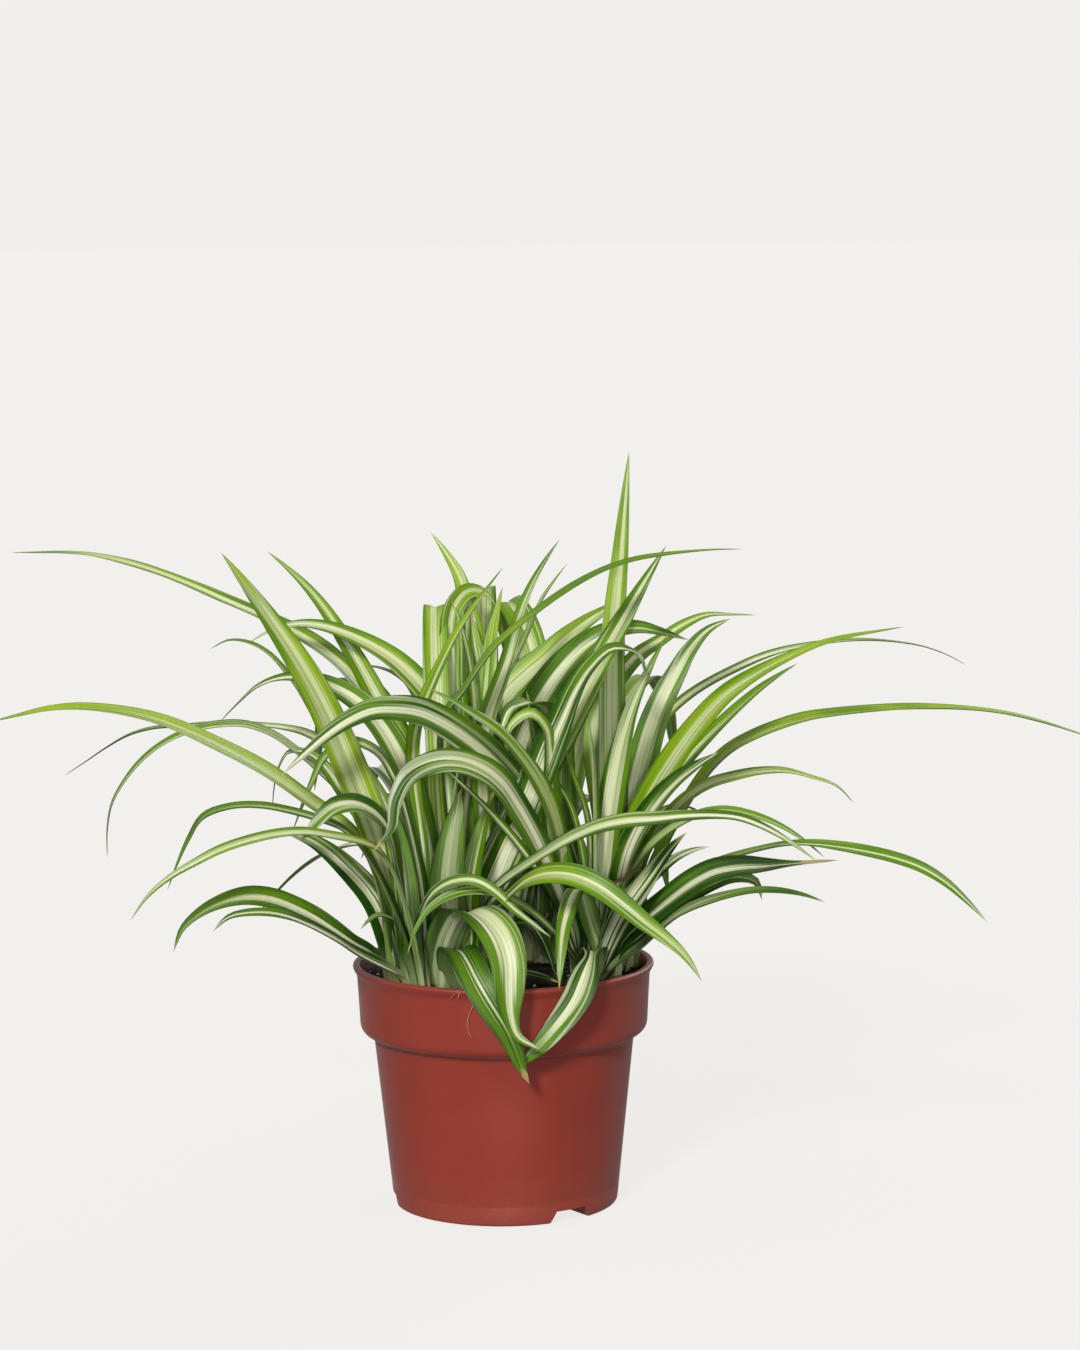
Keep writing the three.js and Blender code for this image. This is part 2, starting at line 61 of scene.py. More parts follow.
def addCamera():
    data = bpy.data.cameras.new("camera")
    data.lens = camera["lens"]
    data.sensor_width = 36
    down = math.radians(camera["lookDown"])
    roll = math.radians(camera["roll"])
    ahead = Vector((0, math.cos(down), -math.sin(down)))
    up = Vector((0, math.sin(down), math.cos(down)))
    right = Vector((1, 0, 0))
    side = right * math.cos(roll) - up * math.sin(roll)
    top = right * math.sin(roll) + up * math.cos(roll)
    made = bpy.data.objects.new("camera", data)
    turned = Matrix((side, top, -ahead)).transposed().to_4x4()
    made.matrix_world = Matrix.Translation(Vector(camera["place"]) * mm) @ turned
    bpy.context.scene.collection.objects.link(made)
    bpy.context.scene.camera = made


addCamera()


# Helpers that every piece uses
def linear(colour):
    # sRGB hex to linear red, green, blue and alpha
    parts = [int(colour[i:i + 2], 16) / 255 for i in (1, 3, 5)]
    return [c / 12.92 if c < 0.04045 else ((c + 0.055) / 1.055) ** 2.4 for c in parts] + [1]


def smooth(low, high, x):
    t = np.clip((x - low) / (high - low), 0, 1)
    return t * t * (3 - 2 * t)


def bezier(start, pull, end, count):
    # points along a quadratic curve, without its start
    steps = [i / count for i in range(1, count + 1)]
    return [tuple((1 - t) ** 2 * a + 2 * t * (1 - t) * b + t * t * c for a, b, c in zip(start, pull, end))
            for t in steps]


def setSockets(node, values):
    # each value is a number, a hex colour, a socket, or a node, which stands for its first output in use
    for key, value in values.items():
        if isinstance(value, str):
            value = linear(value)
        if isinstance(value, bpy.types.Node):
            value = next(output for output in value.outputs if output.enabled)
        if isinstance(value, bpy.types.NodeSocket):
            node.id_data.links.new(value, node.inputs[key])
        else:
            node.inputs[key].default_value = value


def addNode(tree, kind, *inputs, **settings):
    # inputs fill the sockets in order, or by number or name from a dictionary; settings are properties
    made = tree.nodes.new("ShaderNode" + kind)
    for key, value in settings.items():
        setattr(made, key, value)
    for place, given in enumerate(inputs):
        setSockets(made, given if isinstance(given, dict) else {place: given})
    return made


def newMaterial(name):
    # the material, addNode for its nodes, and its shader
    made = bpy.data.materials.new(name)
    made.use_nodes = True
    return made, partial(addNode, made.node_tree), made.node_tree.nodes["Principled BSDF"]


def addPiece(name, edit, creaseAngle, material, stands=()):
    # turns an edit mesh into a smooth piece, whose edges stay sharp past the crease angle
    bmesh.ops.recalc_face_normals(edit, faces=edit.faces)
    mesh = bpy.data.meshes.new(name)
    edit.to_mesh(mesh)
    edit.free()
    mesh.polygons.foreach_set("use_smooth", [True] * len(mesh.polygons))
    mesh.set_sharp_from_angle(angle=math.radians(creaseAngle))
    mesh.update()
    mesh.materials.append(material)
    made = bpy.data.objects.new(name, mesh)
    bpy.context.scene.collection.objects.link(made)
    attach(made, "root")
    if stands:
        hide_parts(*stands)
    return made


def lathe(profile, segments):
    # turns (radius, height) points around the axis; a point on the axis closes the shape
    mesh = bmesh.new()
    turns = [2 * math.pi * i / segments for i in range(segments)]
    rings = []
    for radius, height in profile:
        around = turns if radius else [0]
        corners = [(radius * math.cos(a), radius * math.sin(a), height) for a in around]
        rings.append([mesh.verts.new(Vector(corner) * mm) for corner in corners])
    for low, high in zip(rings, rings[1:]):
        for i in range(segments):
            j = (i + 1) % segments
            corners = [low[i % len(low)], low[j % len(low)], high[j % len(high)], high[i % len(high)]]
            mesh.faces.new(list(dict.fromkeys(corners)))
    bmesh.ops.recalc_face_normals(mesh, faces=mesh.faces)
    return mesh


# Pot: injection-moulded polypropylene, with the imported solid's profile but turned finely
pot = {
    "height": 96.2,
    "rim": 59.4,
    "lip": 3.8,
    "collarTop": 57.8,
    "collarFoot": 56.8,
    "collarFootHeight": 72.6,
    "bodyTop": 51.3,
    "bodyTopHeight": 66,
    "foot": 44.4,
    "wall": 1.2,
    "partingLine": (68.4, 0.12),  # height and depth of the mould's line under the collar
    "footLine": (7.8, 0.1),  # height and depth of the faint line above the foot
    "pockets": 3,
    "pocketAzimuth": -54.4,  # degrees
    "pocketWidths": (19, 13.7),  # at the ground and at its roof
    "pocketHeight": 4.8,
    "pocketInnerEnd": 22,
    "drainHole": 2.6,
    "holesOut": (5, 15),  # how far out from a pocket's inner end
    "segments": 192,
    "colour": "#903628",
    "shade": "#842f22",
    "dust": "#a8695a",
    "dustTop": 20,  # height below which dust shows
    "dustShare": 0.3,
    "speck": 1.11,  # size of the dust specks
    "roughness": (0.36, 0.45),
    "ior": 1.49,  # polypropylene
    "sheen": 0.11,  # the faint haze at the silhouette
    "sheenRoughness": 0.4,
    "mottle": 26,  # flow marks of the mould
    "grain": 0.8,  # fine orange peel, drawn coarser than life so that it shows
    "grainStrength": 0.15,
    "grainDepth": 0.1,
    "creaseAngle": 32,  # degrees
}


def satinPolypropylene():
    # An even brick red that goes greyer at the silhouette, with a broad soft highlight and faint flow marks.
    made, add, shader = newMaterial("satinPolypropylene")
    place = add("TexCoord").outputs["Object"]
    flow, peel, speck = [
        add("TexNoise", {"Vector": place, "Scale": 1 / (pot[size] * mm), "Detail": detail})
        for size, detail in (("mottle", 2.0), ("grain", 1.0), ("speck", 3.0))
    ]
    body = add("Mix", {0: flow, 6: pot["shade"], 7: pot["colour"]}, data_type="RGBA")
    height = add("SeparateXYZ", place).outputs["Z"]
    low = add("MapRange", height, pot["dustTop"] * mm, 0.0, 0.0, pot["dustShare"])
    dust = add("Math", speck, low, operation="MULTIPLY")
    setSockets(shader, {
        "Base Color": add("Mix", {0: dust, 6: body, 7: pot["dust"]}, data_type="RGBA"),
        "Roughness": add("MapRange", flow, 0.3, 0.7, *pot["roughness"]),
        "Normal": add("Bump", {"Height": peel, "Strength": pot["grainStrength"],
                               "Distance": pot["grainDepth"] * mm}),
        "IOR": pot["ior"],
        "Sheen Weight": pot["sheen"],
        "Sheen Roughness": pot["sheenRoughness"],
    })
    return made


def potOutside():
    # from under the foot, up past its faint line and the crease under the collar, and over the lip
    foot, waist, waistHeight = pot["foot"], pot["bodyTop"], pot["bodyTopHeight"]
    collar, collarHeight, collarTop = pot["collarFoot"], pot["collarFootHeight"], pot["collarTop"]
    rim, top = pot["rim"], pot["height"]
    lipFoot = top - pot["lip"]
    lineHeight, lineDepth = pot["partingLine"]
    markHeight, markDepth = pot["footLine"]
    slope = (waist - foot - 0.1) / (waistHeight - 1.5)
    mark = foot + 0.1 + slope * (markHeight - 1.5)
    shoulder = (waist + 1.3, waistHeight + 2)
    swell = ((collarTop + rim) / 2, lipFoot + 0.9)
    profile = [(0, 0), (foot - 1.5, 0)]
    profile += bezier(profile[-1], (foot, 0), (foot + 0.1, 1.5), 6)
    profile += [(mark - 0.03, markHeight - 0.5), (mark - markDepth, markHeight)]
    profile += [(mark + slope * z, markHeight + z) for z in (0.5, 10, 20, 30, 40, 50)]
    profile += [(waist, waistHeight)]
    profile += bezier(profile[-1], (waist + 0.1, waistHeight + 1.4), shoulder, 4)
    profile += [(shoulder[0] + 0.1 - lineDepth, lineHeight - 0.1), (shoulder[0] + 0.4, lineHeight + 0.1)]
    profile += bezier(profile[-1], (collar - 0.3, collarHeight - 3.6), (collar, collarHeight), 10)
    profile += [((collar + collarTop) / 2, (collarHeight + lipFoot) / 2), (collarTop, lipFoot - 1.6)]
    profile += bezier(profile[-1], (collarTop + 0.1, lipFoot - 0.2), swell, 6)
    profile += bezier(profile[-1], (rim, lipFoot + 2.1), (rim, lipFoot + pot["lip"] * 0.72), 6)
    profile += bezier(profile[-1], (rim, top), (rim - 1.5, top), 6)
    return profile + [(0, top)]


def potRoom():
    # the hollow, from the floor up to the rounded inner edge of the lip
    wall, waistHeight, collarHeight, top = [
        pot[key] for key in ("wall", "bodyTopHeight", "collarFootHeight", "height")
    ]
    slope = (pot["bodyTop"] - pot["foot"]) / waistHeight
    waist, foot = pot["bodyTop"] - wall, pot["foot"] - wall
    collar, collarTop = pot["collarFoot"] - wall, pot["collarTop"] - wall
    edge = (pot["rim"] - 1.9, top + 0.02)
    profile = [(0, wall), (foot - 1.2, wall)]
    profile += bezier(profile[-1], (foot, wall), (foot + 2.4 * slope, wall + 1.2), 4)
    profile += [(waist, waistHeight)]
    profile += bezier(profile[-1], (waist + 0.1, waistHeight + 2.6), (waist + 2, waistHeight + 3.4), 4)
    profile += bezier(profile[-1], (collar - 0.5, collarHeight - 2.4), (collar, collarHeight), 4)
    profile += [(collarTop, top - 1.1)]
    profile += bezier(profile[-1], (collarTop + 0.05, top), edge, 5)
    return profile + [(edge[0], top + 3), (0, top + 3)]


def pocketBlock(azimuth, grow):
    # a radial block with sloping sides that reaches out past the foot
    ground, roof = pot["pocketWidths"]
    slope = (ground - roof) / 2 / pot["pocketHeight"]
    mesh = bmesh.new()
    corners = []
    for radius in (pot["pocketInnerEnd"] - grow, pot["foot"] + 4):
        for z in (-1, pot["pocketHeight"] + grow):
            half = ground / 2 - slope * z + grow * math.hypot(1, slope)
            corners += [(radius, -half, z), (radius, half, z)]
    made = [mesh.verts.new(Vector(corner) * mm) for corner in corners]
    for face in ((0, 1, 3, 2), (4, 6, 7, 5), (0, 4, 5, 1), (2, 3, 7, 6), (0, 2, 6, 4), (1, 5, 7, 3)):
        mesh.faces.new([made[i] for i in face])
    bmesh.ops.rotate(mesh, verts=mesh.verts, matrix=Matrix.Rotation(azimuth, 3, "Z"))
    bmesh.ops.recalc_face_normals(mesh, faces=mesh.faces)
    return mesh


def drainHole(azimuth, radius):
    mesh = bmesh.new()
    middle = Vector((radius * math.cos(azimuth), radius * math.sin(azimuth), pot["pocketHeight"]))
    bmesh.ops.create_cone(mesh, cap_ends=True, segments=32, radius1=pot["drainHole"] * mm,
                          radius2=pot["drainHole"] * mm, depth=4 * pot["wall"] * mm,
                          matrix=Matrix.Translation(middle * mm))
    return mesh


def carved(source, tools):
    # the source with each tool cut out of it
    def standIn(mesh):
        data = bpy.data.meshes.new("carving")
        mesh.to_mesh(data)
        mesh.free()
        made = bpy.data.objects.new("carving", data)
        bpy.context.scene.collection.objects.link(made)
        return made

    target = standIn(source)
    others = [standIn(tool) for tool in tools]
    for other in others:
        step = target.modifiers.new("cut", "BOOLEAN")
        step.operation = "DIFFERENCE"
        step.solver = "EXACT"
        step.object = other
    result = bmesh.new()
    result.from_object(target, bpy.context.evaluated_depsgraph_get())
    # closes the slivers where two faces barely cross
    bmesh.ops.remove_doubles(result, verts=result.verts, dist=0.002 * mm)
    for item in [target] + others:
        bpy.data.objects.remove(item)
    return result


def addPot():
    turns = [math.radians(pot["pocketAzimuth"] + 360 * i / pot["pockets"]) for i in range(pot["pockets"])]
    room = carved(lathe(potRoom(), pot["segments"]), [pocketBlock(a, pot["wall"]) for a in turns])
    pockets = [pocketBlock(a, 0) for a in turns]
    holes = [drainHole(a, pot["pocketInnerEnd"] + out) for a in turns for out in pot["holesOut"]]
    shell = carved(lathe(potOutside(), pot["segments"]), [room] + pockets + holes)
    addPiece("nursery_pot", shell, pot["creaseAngle"], satinPolypropylene(), ["pot"])


addPot()
print("pot turned, pockets cut")

# Soil: dark peat, level under the rim but lumpy, with perlite, bark and crumbs lying in it
soil = {
    "level": 90,
    "grid": 1.2,  # between surface points
    "lumps": ((7.5, 1.1), (2.6, 0.75), (1.1, 0.35)),  # size and height
    "seed": 5,
    "wet": "#0e0a08",
    "dry": "#3a2a20",
    "fibre": "#4f3a28",
    "crumb": 1.11,
    "patch": 3.85,
    "strand": 0.667,  # width of the short fibres
    "roughness": (0.55, 0.95),
    "reliefDepth": 0.5,
    "settled": 0.6,  # how far the lumps lie under the level
    "wallDip": (50, 56, 0.9),  # from this radius to this one it sinks by this much
    "creaseAngle": 60,  # degrees
    "grainCreaseAngle": 35,
}
grains = {
    "perlite_grains": {"material": "perlite", "light": "#e9e5dc", "dark": "#b8b0a2", "mottle": 0.8,
                       "roughness": 0.9, "count": 80, "radii": (0.5, 1.5), "flatness": 0.8, "lumps": 0.5,
                       "seed": 3},
    "bark_chips": {"material": "bark", "light": "#5b4030", "dark": "#1e130c", "mottle": 1.2,
                   "roughness": 0.85, "count": 70, "radii": (1.2, 3.2), "flatness": 0.35, "lumps": 0.6,
                   "seed": 4},
    "peat_crumbs": {"material": "peatCrumbs", "light": "#38281d", "dark": "#120c09", "mottle": 1.0,
                    "roughness": 0.9, "count": 900, "radii": (0.35, 1.1), "flatness": 0.75, "lumps": 0.6,
                    "seed": 5},
}


def moistPeat():
    # Almost black with brown crumbs and short fibres, quite matt, with a few damp glints.
    made, add, shader = newMaterial("moistPeat")
    place = add("TexCoord").outputs["Object"]
    crumbs = add("TexVoronoi", {"Vector": place, "Scale": 1 / (soil["crumb"] * mm)})
    patches = add("TexNoise", {"Vector": place, "Scale": 1 / (soil["patch"] * mm), "Detail": 5.0})
    fibres = add("TexNoise", {"Vector": place, "Scale": 1 / (soil["strand"] * mm), "Detail": 4.0,
                              "Distortion": 2.5})
    tone = add("MapRange", patches, 0.42, 0.68)
    base = add("Mix", {0: tone, 6: soil["wet"], 7: soil["dry"]}, data_type="RGBA")
    thread = add("MapRange", fibres, 0.62, 0.7, 0.0, 0.55)
    setSockets(shader, {
        "Base Color": add("Mix", {0: thread, 6: base, 7: soil["fibre"]}, data_type="RGBA"),
        "Roughness": add("MapRange", patches, 0.3, 0.6, *soil["roughness"]),
        "Normal": add("Bump", {"Height": add("Math", crumbs, fibres), "Strength": 0.8,
                               "Distance": soil["reliefDepth"] * mm}),
    })
    return made


def crumbly(kind):
    # a matt grain, mottled between two colours
    made, add, shader = newMaterial(kind["material"])
    place = add("TexCoord").outputs["Object"]
    spots = add("TexNoise", {"Vector": place, "Scale": 1 / (kind["mottle"] * mm), "Detail": 4.0})
    tone = add("MapRange", spots, 0.35, 0.65)
    setSockets(shader, {
        "Base Color": add("Mix", {0: tone, 6: kind["dark"], 7: kind["light"]}, data_type="RGBA"),
        "Normal": add("Bump", {"Height": spots, "Strength": 0.7, "Distance": 0.2 * mm}),
        "Roughness": kind["roughness"],
    })
    return made


def soilHeight(x, y):
    # lumps at three sizes, sunk a little along the pot's wall
    height = soil["level"] - soil["settled"]
    for size, rise in soil["lumps"]:
        height += rise * noise.noise(Vector((x / size, y / size, soil["seed"] + size)))
    start, end, dip = soil["wallDip"]
    return height - dip * float(smooth(start, end, math.hypot(x, y)))


def joinRings(mesh, outer, inner):
    # triangles between two rings with different counts, walked by angle
    def angleOf(ring, i):
        v = ring[i % len(ring)]
        return math.atan2(v.co.y, v.co.x) + 2 * math.pi * (i // len(ring))

    i, j = 0, 0
    while i < len(outer) or j < len(inner):
        a, b = outer[i % len(outer)], inner[j % len(inner)]
        outerTurn = i < len(outer) and (j >= len(inner) or angleOf(outer, i + 1) <= angleOf(inner, j + 1))
        if outerTurn:
            i += 1
            mesh.faces.new((a, outer[i % len(outer)], b))
        else:
            j += 1
            mesh.faces.new((a, inner[j % len(inner)], b))


def addSoil():
    # the packed soil keeps its sides and underside; its flat top becomes rings of lumpy ground
    mesh = bmesh.new()
    mesh.from_mesh(nodes["potting_soil"].data)
    bmesh.ops.remove_doubles(mesh, verts=mesh.verts, dist=1e-6)
    top = (soil["level"] - 0.01) * mm
    flat = [f for f in mesh.faces if all(v.co.z > top for v in f.verts)]
    bmesh.ops.delete(mesh, geom=flat, context="FACES")
    rim = {v for e in mesh.edges if e.is_boundary for v in e.verts}
    outer = sorted(rim, key=lambda v: math.atan2(v.co.y, v.co.x))
    reach = math.hypot(outer[0].co.x, outer[0].co.y) / mm
    rings = int(reach / soil["grid"])
    for ring in range(rings - 1, 0, -1):
        radius = reach * ring / rings
        count = max(6, int(2 * math.pi * radius / soil["grid"]))
        inner = []
        for i in range(count):
            angle = -math.pi + 2 * math.pi * (i + 0.5 * (ring % 2) + 0.01) / count
            x, y = radius * math.cos(angle), radius * math.sin(angle)
            inner.append(mesh.verts.new((x * mm, y * mm, soilHeight(x, y) * mm)))
        joinRings(mesh, outer, inner)
        outer = inner
    mesh.faces.new(outer)
    addPiece("lumpy_soil", mesh, soil["creaseAngle"], moistPeat(), ["potting_soil"])


def scatter(name, kind):
    # joins many irregular grains into one piece, each half sunk in the soil
    smallest, largest = kind["radii"]
    rng = random.Random(kind["seed"])
    mesh = bmesh.new()
    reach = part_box("potting_soil")[1].x / mm - 1.2
    for _ in range(kind["count"]):
        size = smallest + (largest - smallest) * rng.random() ** 2.5
        radius = (reach - size) * math.sqrt(rng.random())
        angle = rng.uniform(0, 2 * math.pi)
        x, y = radius * math.cos(angle), radius * math.sin(angle)
        detail = 1 if size < 1 else 2
        grain = bmesh.ops.create_icosphere(mesh, subdivisions=detail, radius=size * mm)["verts"]
        shift = Vector((rng.uniform(0, 50), rng.uniform(0, 50), rng.uniform(0, 50)))
        for v in grain:
            v.co *= 1 + kind["lumps"] * noise.noise(v.co / (size * mm) * 1.4 + shift)
        squeeze = Matrix.Diagonal((1, rng.uniform(0.5, 1), kind["flatness"] * rng.uniform(0.7, 1.2)))
        tilt = Matrix.Rotation(rng.uniform(-0.5, 0.5), 3, "X") @ Matrix.Rotation(rng.uniform(0, 6.3), 3, "Z")
        bmesh.ops.transform(mesh, verts=grain, matrix=(tilt @ squeeze).to_4x4())
        lift = soilHeight(x, y) + 0.35 * size * kind["flatness"]
        bmesh.ops.translate(mesh, verts=grain, vec=Vector((x, y, lift)) * mm)
    addPiece(name, mesh, soil["grainCreaseAngle"], crumbly(kind))


addSoil()
for name, kind in grains.items():
    scatter(name, kind)
print("soil laid")

# Leaves: each packed blade is read section by section and made again as a fine, thin, channelled blade
leaf = {
    "step": 2.6,  # between sections
    "across": (-1, -0.84, -0.6, -0.34, -0.13, 0, 0.13, 0.34, 0.6, 0.84, 1),
    "thickFoot": 0.6,
    "thickTip": 0.26,
    "thickEdge": 0.1,
    "swell": 0.06,  # how far each half of the blade swells up, as a share of its half width
    "wave": 0.035,  # how far the margins wave, as a share of the half width
    "waveLength": 44,
    "groove": 0.15,  # depth of the line over the midrib
    "taper": (2.2, 0.9),  # how full the blade stays towards its tip
    "packedFoot": 0.42,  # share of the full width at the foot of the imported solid
    "foot": 0.84,  # and of the blade, whose base spreads round its neighbours
    "widestAt": 0.36,  # share of the length
    "footChannel": 0.24,  # depth of the channel as a share of the width
    "middleChannel": 0.13,
    "footHeight": 90.3,
    "creaseAngle": 75,  # degrees
}
leafFinish = {
    "cream": "#d9dbbb",
    "creamVein": "#8fa74e",
    "creamGreen": "#aebf70",  # the stripe of a brighter green leaf
    "blush": "#ccc2a0",  # the greyish pink that some stripes take in the middle
    "lime": "#8fab1c",
    "green": "#577f08",
    "darkGreen": "#204606",
    "edge": "#2a4a14",
    "underside": "#86a05c",
    "undersideStripe": "#c3caa2",
    "sheath": "#cbcf9c",
    "dryTip": "#a39060",
    "dryDark": "#46301f",  # the oldest dry ends, on the darkest leaves
    "veins": (0.8, 570),  # width and length of the fine lines, a little coarser than life so that they show
    "bands": (1.9, 190),  # and of the broader green and cream lines
    "patches": (9, 42),
    "softness": 0.15,  # how gradually the stripe turns green, as a share of the half width
    "roughness": 0.36,
    "specular": 0.4,
    "ior": 1.45,  # plant wax
    "flesh": 0.15,  # how much light goes into the leaf
    "fleshDepth": 1.5,
    "fleshRadii": (0.5, 0.9, 0.25),
    "reliefStrength": 0.3,
    "reliefDepth": 0.2,
}


def waxyLeaf():
    # A living leaf: soft waxy gloss over a cream stripe that runs out into green margins in fine lines.
    made, add, shader = newMaterial("waxyLeaf")
    eased = {"interpolation_type": "SMOOTHSTEP"}

    def read(name):
        # the three numbers that each point of a blade carries
        return add("SeparateXYZ", add("Attribute", attribute_name=name).outputs["Vector"]).outputs

    def lines(name, shift):
        # noise from 0 to 1, drawn out along the leaf
        width, length = leafFinish[name]
        spot = add("CombineXYZ",
                   add("Math", veinPlace, 1 / width, operation="MULTIPLY"),
                   add("Math", along, 1 / length, operation="MULTIPLY"),
                   add("Math", ownNumber, 31.0, shift, operation="MULTIPLY_ADD"))
        noise = add("TexNoise", {"Vector": spot, "Scale": 1.0, "Detail": 2.0})
        return add("MapRange", noise, 0.3, 0.7, **eased)

    share, veinPlace, along = read("leafPlace")  # -1..1 across, mm from the midrib, mm from the foot
    stripeShare, toneShare, ownNumber = read("leafLook")
    under, toDry, way = read("leafEnds")  # 1 on the lower face, mm to the dry tip, 0..1 from foot to tip
    away = add("Math", share, operation="ABSOLUTE")
    bands = lines("bands", 0.0)
    veins = lines("veins", 7.0)
    patches = lines("patches", 13.0)

    # the stripe ends softly and in streaks, because its edge follows the veins
    edge = stripeShare
    for change in (
        add("Math", bands, 0.34, -0.17, operation="MULTIPLY_ADD"),
        add("Math", veins, 0.2, -0.1, operation="MULTIPLY_ADD"),
        add("MapRange", along, 55.0, 6.0, 0.0, -0.16, **eased),
        add("MapRange", way, 0.5, 1.0, 0.0, -0.24, **eased),
    ):
        edge = add("Math", edge, change)
    soft = leafFinish["softness"]
    stripe = add("MapRange", add("Math", edge, away, operation="SUBTRACT"), -soft, soft, **eased)
    streak = add("Math", add("MapRange", bands, 0.66, 0.9, **eased),
                 add("MapRange", stripeShare, 0.12, 0.3, 0.0, 0.5, **eased), operation="MULTIPLY")
    creamShare = add("Math", stripe, streak, operation="MAXIMUM")

    # the green is deepest at the margin; towards the foot it is darkened further as painted shade, where the
    # leaves crowd over the soil
    tone = toneShare
    for change in (
        add("Math", patches, 0.35, -0.12, operation="MULTIPLY_ADD"),
        add("MapRange", away, 0.55, 1.0, 0.0, -0.22, **eased),
        # painted shade: the green darkens towards the foot, standing in for the deep shade among the crowded
        # leaves
        add("MapRange", along, 75.0, 12.0, 0.0, -0.34, **eased),
        add("Math", veins, 0.2, -0.1, operation="MULTIPLY_ADD"),
    ):
        tone = add("Math", tone, change)
    greenLine = add("Math", add("MapRange", veins, 0.4, 0.1, 0.0, 0.42, **eased),
                    add("MapRange", bands, 0.3, 0.05, 0.0, 0.7, **eased), operation="MAXIMUM")
    pale = add("Math", add("Math", ownNumber, operation="FRACT"), 0.6, 0.1, operation="MULTIPLY_ADD")
    sheathed = add("Math", add("MapRange", along, 20.0, 2.0, **eased), pale, operation="MULTIPLY")
    frayed = add("Math", toDry, add("Math", bands, 5.0, -2.5, operation="MULTIPLY_ADD"))
    dry = add("MapRange", frayed, 2.0, -0.6, **eased)

    # each coat: what it makes, what it lies on, how much of it shows and its colour
    paint = dict(leafFinish)
    for target, base, amount, coat in (
        ("blade", "darkGreen", add("MapRange", tone, 0.0, 0.5, **eased), "green"),
        ("blade", "blade", add("MapRange", tone, 0.5, 1.0, **eased), "lime"),
        ("stripe", "cream", add("MapRange", patches, 0.5, 1.0, 0.0, 0.45, **eased), "blush"),
        ("stripe", "stripe", add("MapRange", tone, 0.2, 0.85, 0.0, 0.55, **eased), "creamGreen"),
        ("stripe", "stripe", greenLine, "creamVein"),
        ("face", "blade", creamShare, "stripe"),
        ("face", "face", add("MapRange", away, 0.06, 0.02, 0.0, 0.4, **eased), "creamVein"),  # the midrib
        ("face", "face", add("MapRange", away, 0.9, 0.97, 0.0, 0.45, **eased), "edge"),
        ("lower", "blade", 0.3, "underside"),
        ("lower", "lower", add("Math", creamShare, 0.6, operation="MULTIPLY"), "undersideStripe"),
        # the keel under the midrib
        ("lower", "lower", add("MapRange", away, 0.07, 0.02, 0.0, 0.6, **eased), "undersideStripe"),
        ("face", "face", under, "lower"),
        ("face", "face", sheathed, "sheath"),
        ("dead", "dryTip", add("MapRange", toneShare, 0.15, 0.1, **eased), "dryDark"),
        ("face", "face", dry, "dead"),
    ):
        paint[target] = add("Mix", {0: amount, 6: paint[base], 7: paint[coat]}, data_type="RGBA")

    relief = add("Math", bands, 0.5, veins, operation="MULTIPLY_ADD")
    gloss = add("Math", patches, 0.12, leafFinish["roughness"], operation="MULTIPLY_ADD")
    for amount, duller in ((dry, 0.35), (under, 0.1)):
        gloss = add("Math", amount, duller, gloss, operation="MULTIPLY_ADD")
    setSockets(shader, {
        "Base Color": paint["face"],
        "Roughness": gloss,
        "Normal": add("Bump", {"Height": relief, "Strength": leafFinish["reliefStrength"],
                               "Distance": leafFinish["reliefDepth"] * mm}),
        "IOR": leafFinish["ior"],
        "Specular IOR Level": leafFinish["specular"],
        "Subsurface Weight": leafFinish["flesh"],
        "Subsurface Radius": leafFinish["fleshRadii"],
        "Subsurface Scale": leafFinish["fleshDepth"] * mm,
    })
    return made


waxy = waxyLeaf()


def unit(rows):
    return rows / np.maximum(np.linalg.norm(rows, axis=-1, keepdims=True), 1e-12)


def distances(points):
    return np.concatenate([[0], np.cumsum(np.linalg.norm(np.diff(points, axis=0), axis=1))])


def curve(rows, at, wanted):
    # a smooth curve through rows that stand at the distances `at`, read at the wanted distances
    rows = np.asarray(rows, float)
    slope = np.gradient(rows, at, axis=0)
    spot = np.clip(np.searchsorted(at, wanted, side="right") - 1, 0, len(at) - 2)
    gap = (at[spot + 1] - at[spot])[:, None]
    t = (np.asarray(wanted)[:, None] - at[spot][:, None]) / gap
    low, high = rows[spot], rows[spot + 1]
    return ((2 * t ** 3 - 3 * t ** 2 + 1) * low + (t ** 3 - 2 * t ** 2 + t) * slope[spot] * gap
            + (3 * t ** 2 - 2 * t ** 3) * high + (t ** 3 - t ** 2) * slope[spot + 1] * gap)


def widthShare(t, foot):
    past = np.clip((t - leaf["widestAt"]) / (1 - leaf["widestAt"]), 0, 1)
    rising = foot + (1 - foot) * smooth(0, leaf["widestAt"], t)
    return np.where(t < leaf["widestAt"], rising, (1 - past ** leaf["taper"][0]) ** leaf["taper"][1])


